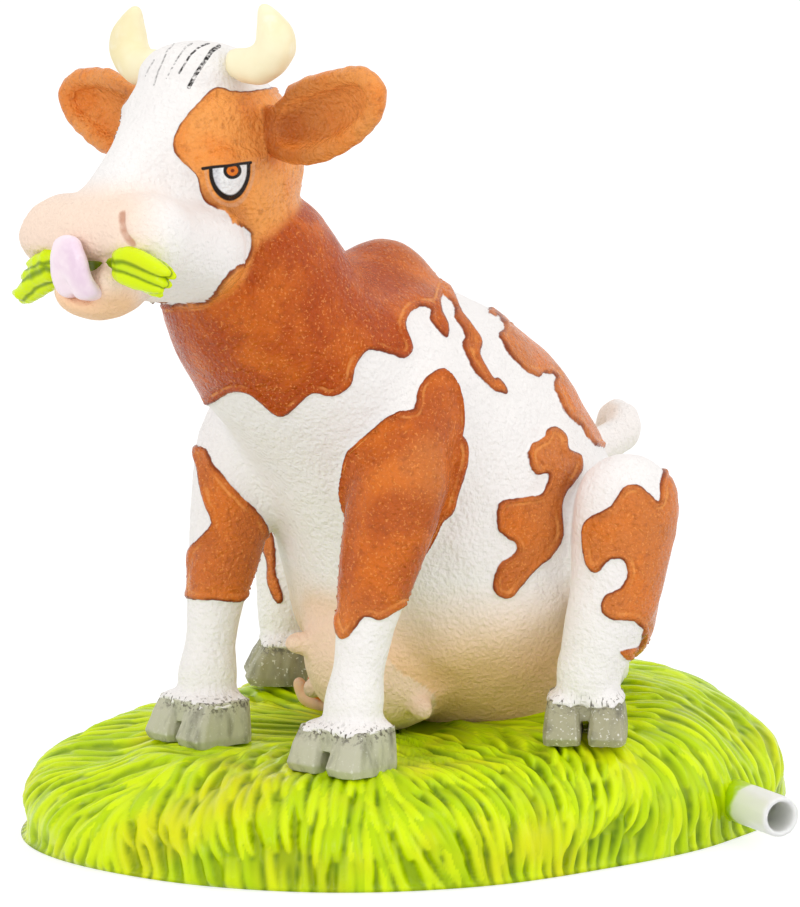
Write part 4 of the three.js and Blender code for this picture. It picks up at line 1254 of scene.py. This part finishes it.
def blush_values(points, plain, gap):
    """Blush on the udder, the belly and the chin."""
    belly = ease(points[:, 2], *BELLY_HEIGHT_SPAN) * ease(points[:, 1], *BELLY_BACK_SPAN)
    chin = CHIN_BLUSH * ease(plain[:, 1], *CHIN_DOWN_SPAN) * ease(plain[:, 0], *CHIN_ACROSS_SPAN)
    udder = UDDER_BLUSH * ease(gap["udder"], *UDDER_SPAN)
    return np.max([udder, belly * (gap["torso"] < ON_PART), chin * (gap["head"] < ON_PART)], axis=0)


def nose_values(normals, plain, folded, gap):
    """Rose on the muzzle, and on the tail a faint rose deepened as painted shade on its side turned to the
    camera's left.
    """
    across = np.minimum(plain[:, 0], folded[:, 0])
    muzzle = ease(across, *NOSE_ACROSS_SPAN) * ease(plain[:, 1], *NOSE_DOWN_SPAN)
    # Painted shade: the tail's side turned to the camera's left gets more rose
    tail = gain(TAIL_ROSE_AND_SHADE, ease(-normals @ RIGHT, *TAIL_SHADE_SPAN))
    return np.maximum(muzzle * (gap["head"] < ON_PART), tail * (gap["tail"] < ON_TAIL))


def wear_values(field, points, faces, normals, gap):
    """How far the brown is lighter, as wear and as painted highlight, and how far it takes painted shade in
    the ears and in hollows.
    """
    rounding = field.at(points, soften(field.value, ROUNDING_REACH))
    wear_and_sheen = [share * ease(gap[node], *WORN_SPAN) for node, share in PART_WEAR_AND_SHEEN.items()]
    wear_and_sheen.append(WORN_REAR * ease(points[:, 1], *REAR_SPAN))
    # Painted highlight on sharp edges and ridges
    wear_and_sheen.append(EDGE_HIGHLIGHT * ease(sharpness(points, faces), *EDGE_SPAN))
    wear_and_sheen.append(RIDGE_HIGHLIGHT * ease(rounding, *RIDGE_SPAN))
    # Painted shade in the ears' bowls where they face forward, and in hollows
    bowl_and_hollow_shade = gain(BOWL_SHADE, ease(np.abs(points[:, 0]), *BOWL_SPAN))
    bowl_and_hollow_shade *= ease(-normals[:, 1], *BOWL_FACING) * (np.min([gap[ear] for ear in EARS], axis=0) < ON_EAR)
    return np.max(wear_and_sheen, axis=0), np.maximum(bowl_and_hollow_shade, HOLLOW_SHADE * ease(rounding, *HOLLOW_SPAN))


def coat_values(field, own, slits, points, faces, normals):
    """What the hide paint reads at each point of the coat."""
    plain = pixels(points)
    mirrored, _, right_half = other_side(points, normals)
    folded = np.where(right_half[:, None], pixels(mirrored), plain)
    gap = {node: own[node].at(points) for node in PARTS}
    on_head = gap["head"] < ON_PART
    rose_and_tail_shade = nose_values(normals, plain, folded, gap)
    wear_and_sheen, bowl_and_hollow_shade = wear_values(field, points, faces, normals, gap)
    level = np.zeros(len(points))
    return {
        "brown": patch_values(points, normals, gap) - NOSE_BARE * on_head * ease(rose_and_tail_shade, *NOSE_BARE_SPAN),
        "blush": blush_values(points, plain, gap),
        "rose_and_tail_shade": rose_and_tail_shade,
        "eye_zone": on_head & (np.abs(folded - np.array(EYE_WHITE)) < EYE_ZONE).all(axis=1),
        "brow_zone": on_head & (normals @ BACK > GRAZING),
        "slit": off_lines(points, slits),
        "wear_and_sheen": wear_and_sheen,
        "bowl_and_hollow_shade": bowl_and_hollow_shade,
        "hem": near_hem(points) * (gap["torso"] > OFF_TORSO),
        "plain": np.column_stack([plain, level]),
        "folded": np.column_stack([folded, level]),
    }


def paint_relief(points, brown):
    """Height of the paint: raised patches, a ridge and a groove along their edges, and lumps."""
    ridge = np.exp(-((brown - PATCH_LINE_IN / 2) / PATCH_RIDGE_WIDTH) ** 2)
    groove = np.exp(-((brown - PATCH_LINE_IN) / PATCH_GROOVE_WIDTH) ** 2)
    height = PATCH_RAISE * ease(brown, *PATCH_SPAN) + PATCH_LINE * (ridge - groove)
    height += LUMP_HEIGHT * lumps(points, LUMP_SIZE, SEED)
    return height + LUMP_HEIGHT / 2 * lumps(points, LUMP_SIZE / 3, SEED + 1)


def cow():
    """The painted coat, in one piece for each part of the casting."""
    field, owner_cells, own = casting_field()
    fetlock_hair(field)
    for node in EARS:
        shape_ear(field, node)
    slits = carve_face(field)
    points, faces = field.surface()
    normals = point_normals(points, faces)
    values = coat_values(field, own, slits, points, faces, normals)
    points = points + normals * paint_relief(points, values["brown"])[:, None]
    normals = point_normals(points, faces)
    cells = np.round(points[faces].mean(axis=1) / CELL).astype(int) - field.low
    cells = np.clip(cells, 0, np.array(field.shape) - 1)
    owner = single_edges(faces, owner_cells[tuple(cells.T)], len(points))
    hide = hide_paint("hide_paint")
    face = hide_paint("face_paint", with_face=True)
    for index, node in enumerate(PARTS):
        spots, sides, source = cut_out(faces[owner == index], points, normals)
        own_values = {label: value[source] for label, value in values.items()}
        material = face if node == "head" else hide
        slot = COAT_SLOTS.get(node, "cow_white")
        make_piece(node + "_coat", spots, sides, material, slot, node, own_values, normals[source])


# Small castings

def small_field(node, cell=SMALL_CELL):
    low, high = box_mm(node)
    return Field(low - SMALL_MARGIN, high + SMALL_MARGIN, cell)


def small_casting(node, material, slot, cell=SMALL_CELL, reach=1, thicken=0.0, shape=None, values=None):
    """A CAD part with its facets softened, then raised along its normals by shape(points)."""
    field = small_field(node, cell)
    part, box = field.of_node(node, reach, thicken)
    field.value[box] = part
    points, faces = field.surface()
    own_values = values(points, faces) if values else None
    if shape:
        points = points + point_normals(points, faces) * shape(points)[:, None]
    make_piece(node + "_casting", points, faces.tolist(), material, slot, node, own_values)


def hoof_grooves(points):
    """Shallow upright grooves round a hoof."""
    return GROOVE_DEPTH * (lumps(points * GROOVE_STRETCH, GROOVE_SIZE, SEED) - 0.5)


def hoof_values(points, faces):
    """Sharp edges of a hoof, and how close each point is to the hem of the coat."""
    hem = ease(points[:, 2] - points[:, 2].max(), *HOOF_HEM_SPAN)
    return {"edge": sharpness(points, faces), "hem": hem}


def tongue_groove(points):
    """A fold near the root of the tongue, a little to its right."""
    low, high = points.min(axis=0), points.max(axis=0)
    across = points[:, 0] - (low[0] + high[0]) / 2 + FOLD_SIDE
    along = ease(points[:, 2], high[2] + FOLD_ENDS[0], low[2] + FOLD_ENDS[1])
    fold = np.exp(-(across / FOLD_WIDTH) ** 2) * along
    return TONGUE_LUMP * lumps(points, TONGUE_LUMP_SIZE, SEED) - FOLD_DEPTH * fold


def bunch_sections(field, part, box):
    """Places along x of the bunch's CAD part, with the middle and the half size of each section."""
    base = np.array([side.start for side in box]) + field.low
    columns = np.nonzero((part < 0).any(axis=(1, 2)))[0]
    middles, halves = [], []
    for column in columns:
        cells = np.argwhere(part[column] < 0)
        ends = (np.array([cells.min(axis=0), cells.max(axis=0)]) + base[1:]) * field.cell
        middles.append(ends.mean(axis=0))
        halves.append(np.ptp(ends, axis=0) / 2)
    return (columns + base[0]) * field.cell, np.array(middles), np.array(halves)


def strand_path(strand, sections, tongue, rng):
    """A blade's line along the bunch's sections, curled down at its ends and tucked in behind the tongue."""
    places, middles, halves = sections
    low, high = (corner[0] for corner in box_mm("grass_bunch"))
    height = 2 * (strand + 0.5) / STRAND_COUNT - 1
    spread = (STRAND_SPREAD[0] * (-1) ** strand, STRAND_SPREAD[1] * height)
    first = places[0] + STRAND_STAGGER * (1 + height) + rng.uniform(*STRAND_ENDS)
    last = places[-1] - STRAND_STAGGER * (1 - height) - rng.uniform(*STRAND_ENDS)
    x = np.linspace(first, last, STRAND_STATIONS)
    y, z = (np.interp(x, places, middles[:, k] + halves[:, k] * spread[k]) for k in (0, 1))
    out = np.abs(2 * (x - low) / (high - low) - 1)
    y = y + STRAND_TUCK * ease(np.abs(x - tongue), *TUCK_SPAN)
    z = z - STRAND_CURL * out ** CURL_POWER + WAVE_HEIGHT * np.sin(x * WAVE_RATE + WAVE_START * rng.random())
    return np.column_stack([x, y, z])


def grass_bunch(grass):
    """Fat blades that run along the bunch's CAD sections and fan out at its ends."""
    node = "grass_bunch"
    field = small_field(node)
    sections = bunch_sections(field, *field.of_node(node, 1, 0.0))
    tongue = np.mean(box_mm("tongue"), axis=0)[0]
    rng = np.random.default_rng(SEED)
    paths = [strand_path(strand, sections, tongue, rng) for strand in range(STRAND_COUNT)]
    fullness = 1 - np.linspace(-1, 1, STRAND_STATIONS) ** STRAND_FULLNESS
    radius = STRAND_TIP + (STRAND_RADIUS - STRAND_TIP) * fullness
    for path in paths:
        for start, end, wide, narrow in zip(path, path[1:], radius, radius[1:]):
            field.taper(start, end, wide, narrow, STRAND_FILLET)
    points, faces = field.surface()
    apart = np.stack([off_lines(points, [path]) for path in paths], axis=1)
    shade = rng.random(STRAND_COUNT)[apart.argmin(axis=1)]
    apart.sort(axis=1)
    # Painted shade where strands lie close together
    clear = ease(apart[:, 1] - apart[:, 0], *STRAND_SHADE_SPAN)
    values = {"ridge": gain(STRAND_SHADE_BETWEEN, clear), "tint": gain(STRAND_TINT, shade)}
    make_piece(node + "_blades", points, faces.tolist(), grass, "grass", node, values)


def small_parts(grass):
    fore = hoof_paint("fore_hoof_paint", HOOF, FORE_SPECKS)
    hind = hoof_paint("hind_hoof_paint", HIND_HOOF, HIND_SPECKS)
    for node in HOOVES:
        paint = fore if "fore" in node else hind
        small_casting(node, paint, "hoof_grey", HOOF_CELL, 0, shape=hoof_grooves, values=hoof_values)
    horn = brushed_paint("horn_paint")
    for node in HORNS:
        small_casting(node, horn, "horn_cream", reach=2, thicken=THICKEN)
    tongue = brushed_paint("tongue_paint")
    small_casting("tongue", tongue, "tongue_lilac", reach=2, thicken=THICKEN, shape=tongue_groove)
    grass_bunch(grass)
    small_casting("snail_shell", brushed_paint("shell_paint"), "snail_orange", thicken=THICKEN)
    small_casting("snail_body", brushed_paint("snail_paint"), "udder_blush")
    mount = next(m for m in frame["record"]["mounts"] if m["name"] == "air_inlet_end")
    tube = tube_paint(np.array(mount["axis"]), np.array(mount["pos_m"]) / MM)
    small_casting("air_line", tube, "clear_tube", TUBE_CELL)


# The mound

def rim_radius(angle):
    """Radius of the mound's edge: a closed curve through its driving radii."""
    radii = np.array(BASE_RADII, float)
    place = angle / (2 * math.pi) * len(radii)
    index = np.floor(place).astype(int)
    around = [radii[(index + shift) % len(radii)] for shift in (-1, 0, 1, 2)]
    return through(*around, place - index)


def turf(y):
    return BASE_TOP + REAR_RISE * ease(y, -RISE_RUN / 4, RISE_RUN)


def mound_grid():
    """The bare mound's points by row, from the foot of its edge to its middle, and by column."""
    angle = np.arange(MOUND_COLUMNS) * 2 * math.pi / MOUND_COLUMNS
    edge = rim_radius(angle)
    turn = np.stack([np.cos(angle), np.sin(angle)], axis=1)
    rows = []
    for height in np.linspace(0, BASE_RIM, RIM_ROWS, endpoint=False):
        rows.append(np.column_stack([turn * edge[:, None], np.full(MOUND_COLUMNS, height)]))
    for t in np.linspace(0, math.pi / 2, SHOULDER_ROWS):
        out = max(math.cos(t), 0.0) ** (2 / SHOULDER_POWER)
        up = math.sin(t) ** (2 / SHOULDER_POWER)
        spot = turn * (BASE_PLATEAU + (edge - BASE_PLATEAU) * out)[:, None]
        rows.append(np.column_stack([spot, BASE_RIM + (turf(spot[:, 1]) - BASE_RIM) * up]))
    for radius in np.linspace(BASE_PLATEAU, TOP_RADIUS, LEVEL_ROWS)[1:]:
        spot = turn * radius
        rows.append(np.column_stack([spot, turf(spot[:, 1])]))
    return np.array(rows)


def wander(waves, rng):
    """A smooth random curve from -1 to 1, closed after one round of the mound's columns."""
    knots = rng.uniform(-1, 1, waves)
    place = np.arange(MOUND_COLUMNS) * waves / MOUND_COLUMNS
    index = np.floor(place).astype(int)
    share = smooth(place - index)
    return knots[index] * (1 - share) + knots[(index + 1) % waves] * share


def random_blades(run, radius):
    """Column, tip, length, half width, rise, lean and tint of each blade, tier by tier up the mound."""
    rng = np.random.default_rng(SEED)
    sway = BLADE_SWAY * wander(SWAY_WAVES, rng)
    relief = gain(RELIEF, wander(RELIEF_WAVES, rng))
    for tier in np.arange(TIER_FIRST, run[-1].min() - TIER_LAST, TIER_STEP):
        middle = radius[np.argmin(np.abs(run[:, 0] - tier)), 0]
        level = wander(TIER_WAVES, rng)
        count = int(2 * math.pi * middle / BLADE_SPACING)
        for blade in range(count):
            place = (blade + rng.uniform(-PLACE_SPREAD, PLACE_SPREAD)) / count
            column = int(place * MOUND_COLUMNS) % MOUND_COLUMNS
            tip = tier + TIER_WAVE * level[column] + rng.uniform(-TIP_SPREAD, TIP_SPREAD)
            length = BLADE_LENGTH * rng.uniform(*LENGTH_SPREAD)
            half = BLADE_SPACING * rng.uniform(*HALF_SPREAD)
            rise = BLADE_RISE * relief[column] * rng.uniform(*RISE_SPREAD)
            lean = sway[column] + rng.normal(0, LEAN_SPREAD)
            yield column, tip, length, half, rise, lean, rng.random()


def stamp_blades(grid):
    """Blades combed down the mound: height, closeness to a blade's back, darker towards its root as painted
    shade, and tint.
    """
    step = np.linalg.norm(np.diff(grid, axis=0), axis=2)
    run = np.vstack([np.zeros(MOUND_COLUMNS), np.cumsum(step, axis=0)])
    radius = np.linalg.norm(grid[..., :2], axis=2)
    turn = 2 * math.pi / MOUND_COLUMNS
    height = np.zeros(run.shape)
    ridge = np.full(run.shape, NEUTRAL)
    tint = np.full(run.shape, NEUTRAL)
    for column, tip, length, half, rise, lean, shade in random_blades(run, radius):
        up = run[:, column] - tip
        near = np.nonzero((up > 0) & (up < length))[0]
        if not len(near):
            continue
        share = 1 - up[near, None] / length
        drift = lean * length * (share ** 2 - 1)
        reach = int((half + abs(lean) * length) / (radius[near, column].min() * turn)) + 2
        reach = min(reach, MOUND_COLUMNS // 4)
        around = np.arange(-reach, reach + 1)
        across = around[None] * turn * radius[near, column][:, None] - drift
        width = half * np.sqrt(np.maximum(1 - share ** BLADE_TAPER, BLADE_TIP))
        body = np.sqrt(np.maximum(1 - (across / width) ** 2, 0))
        droop = 1 - BLADE_DROOP * ease(share, *DROOP_SPAN)
        lift = rise * gain(BLADE_LIFT, share) * droop * body
        block = np.ix_(near, (column + around) % MOUND_COLUMNS)
        wins = lift > height[block]
        # Darker towards the root, under the tier above: painted shade
        back = body * gain(BLADE_ROOT_SHADE, share)
        for layer, value in ((height, lift), (ridge, back), (tint, shade)):
            layer[block] = np.where(wins, value, layer[block])
    return blended(height), blended(ridge), tint


def blended(grid):
    """Each value of a grid that closes on itself, mixed with its neighbours' as in a worn mould."""
    grid = (np.roll(grid, 1, axis=1) + 2 * grid + np.roll(grid, -1, axis=1)) / 4
    stretched = np.pad(grid, [(1, 1), (0, 0)], mode="edge")
    return (stretched[:-2] + 2 * grid + stretched[2:]) / 4


def mound(grass):
    grid = mound_grid()
    height, ridge, tint = stamp_blades(grid)
    index = np.arange(height.size).reshape(height.shape)
    after = np.roll(index, -1, axis=1)
    faces = np.stack([index[:-1], after[:-1], after[1:], index[1:]], axis=-1).reshape(-1, 4)
    points = grid.reshape(-1, 3)
    normals = point_normals(points, faces)
    radius = np.linalg.norm(points[:, :2], axis=1)
    swell = MOUND_LUMP_HEIGHT * lumps(points, MOUND_LUMP_SIZE, SEED) * ease(radius, *MOUND_LUMP_SPAN)
    lift = (height.ravel() - BLADE_RISE / 2 + swell) * ease(points[:, 2], *FOOT_SPAN)
    points = points + normals * lift[:, None]
    points[:MOUND_COLUMNS, 2] = 0.0
    points = np.vstack([points, [0, 0, 0], [0, 0, turf(0.0)]])
    under, top = len(points) - 2, len(points) - 1
    closing = [[int(b), int(a), under] for a, b in zip(index[0], after[0])]
    closing += [[int(a), int(b), top] for a, b in zip(index[-1], after[-1])]
    layers = {"ridge": ridge, "tint": tint}
    values = {label: np.append(layer.ravel(), [NEUTRAL] * 2) for label, layer in layers.items()}
    make_piece("grass_mound", points, faces.tolist() + closing, grass, "grass", "grass_base", values)


# Studio: each lamp's place from the target, its size and its power
LAMPS = {
    "key": (-0.6 * RIGHT + 0.4 * UP + 0.7 * BACK, 0.2, 1.0),
    "front": (-0.6 * RIGHT - 0.04 * UP + 0.75 * BACK, 0.5, 1.6),
    "fill": (0.8 * RIGHT + 0.3 * UP + 0.5 * BACK, 0.7, 2.4),
    "top": (np.array([0, 0, 1.0]), 0.8, 1.6),
}


def studio():
    camera = bpy.data.objects.new("camera", bpy.data.cameras.new("camera"))
    camera.data.lens = PIXELS_PER_MM * DISTANCE / max(PHOTO) * SENSOR
    camera.data.sensor_width = SENSOR
    camera.data.clip_end = CLIP_END
    camera.location = (TARGET + BACK * DISTANCE) * MM
    camera.rotation_euler = (math.pi / 2 - ELEVATION, 0, AZIMUTH)
    bpy.context.scene.collection.objects.link(camera)
    bpy.context.scene.camera = camera
    for name, look in LAMPS.items():
        lamp(name, *look)
    world = Paint(bpy.data.worlds.new("studio"), "Background")
    world.set("Color", PURE_WHITE)
    world.set("Strength", world.seen_rays(WORLD_LIGHT, WORLD_SEEN))
    bpy.context.scene.world = world.owner
    floor()
    bpy.context.scene.view_settings.view_transform = "Standard"


def lamp(name, towards, size, power):
    light = bpy.data.lights.new(name, "AREA")
    light.size = size
    light.energy = power
    spot = bpy.data.objects.new(name, light)
    spot.location = TARGET * MM + towards
    direction = -towards / np.linalg.norm(towards)
    tilt = math.acos(-direction[2])
    spot.rotation_euler = (tilt, 0, math.atan2(-direction[0], direction[1]) if tilt else 0)
    bpy.context.scene.collection.objects.link(spot)


def floor():
    mesh = bpy.data.meshes.new("floor")
    corners = [(x * FLOOR_SIDE, y * FLOOR_SIDE, 0) for x, y in ((-1, -1), (1, -1), (1, 1), (-1, 1))]
    mesh.from_pydata(corners, [], [(0, 1, 2, 3)])
    sheet = bpy.data.objects.new("floor", mesh)
    sheet.location.z = -FLOOR_DROP
    bpy.context.scene.collection.objects.link(sheet)
    paint = new_paint("floor_paper")
    paint.set("Base Color", FLOOR_GREY)
    paint.set("Roughness", FLOOR_ROUGH)
    paint.set("Emission Color", PURE_WHITE)
    paint.set("Emission Strength", paint.seen_rays(FLOOR_LIGHT, FLOOR_SEEN))
    mesh.materials.append(paint.owner)


studio()
cow()
grass = grass_paint()
small_parts(grass)
mound(grass)
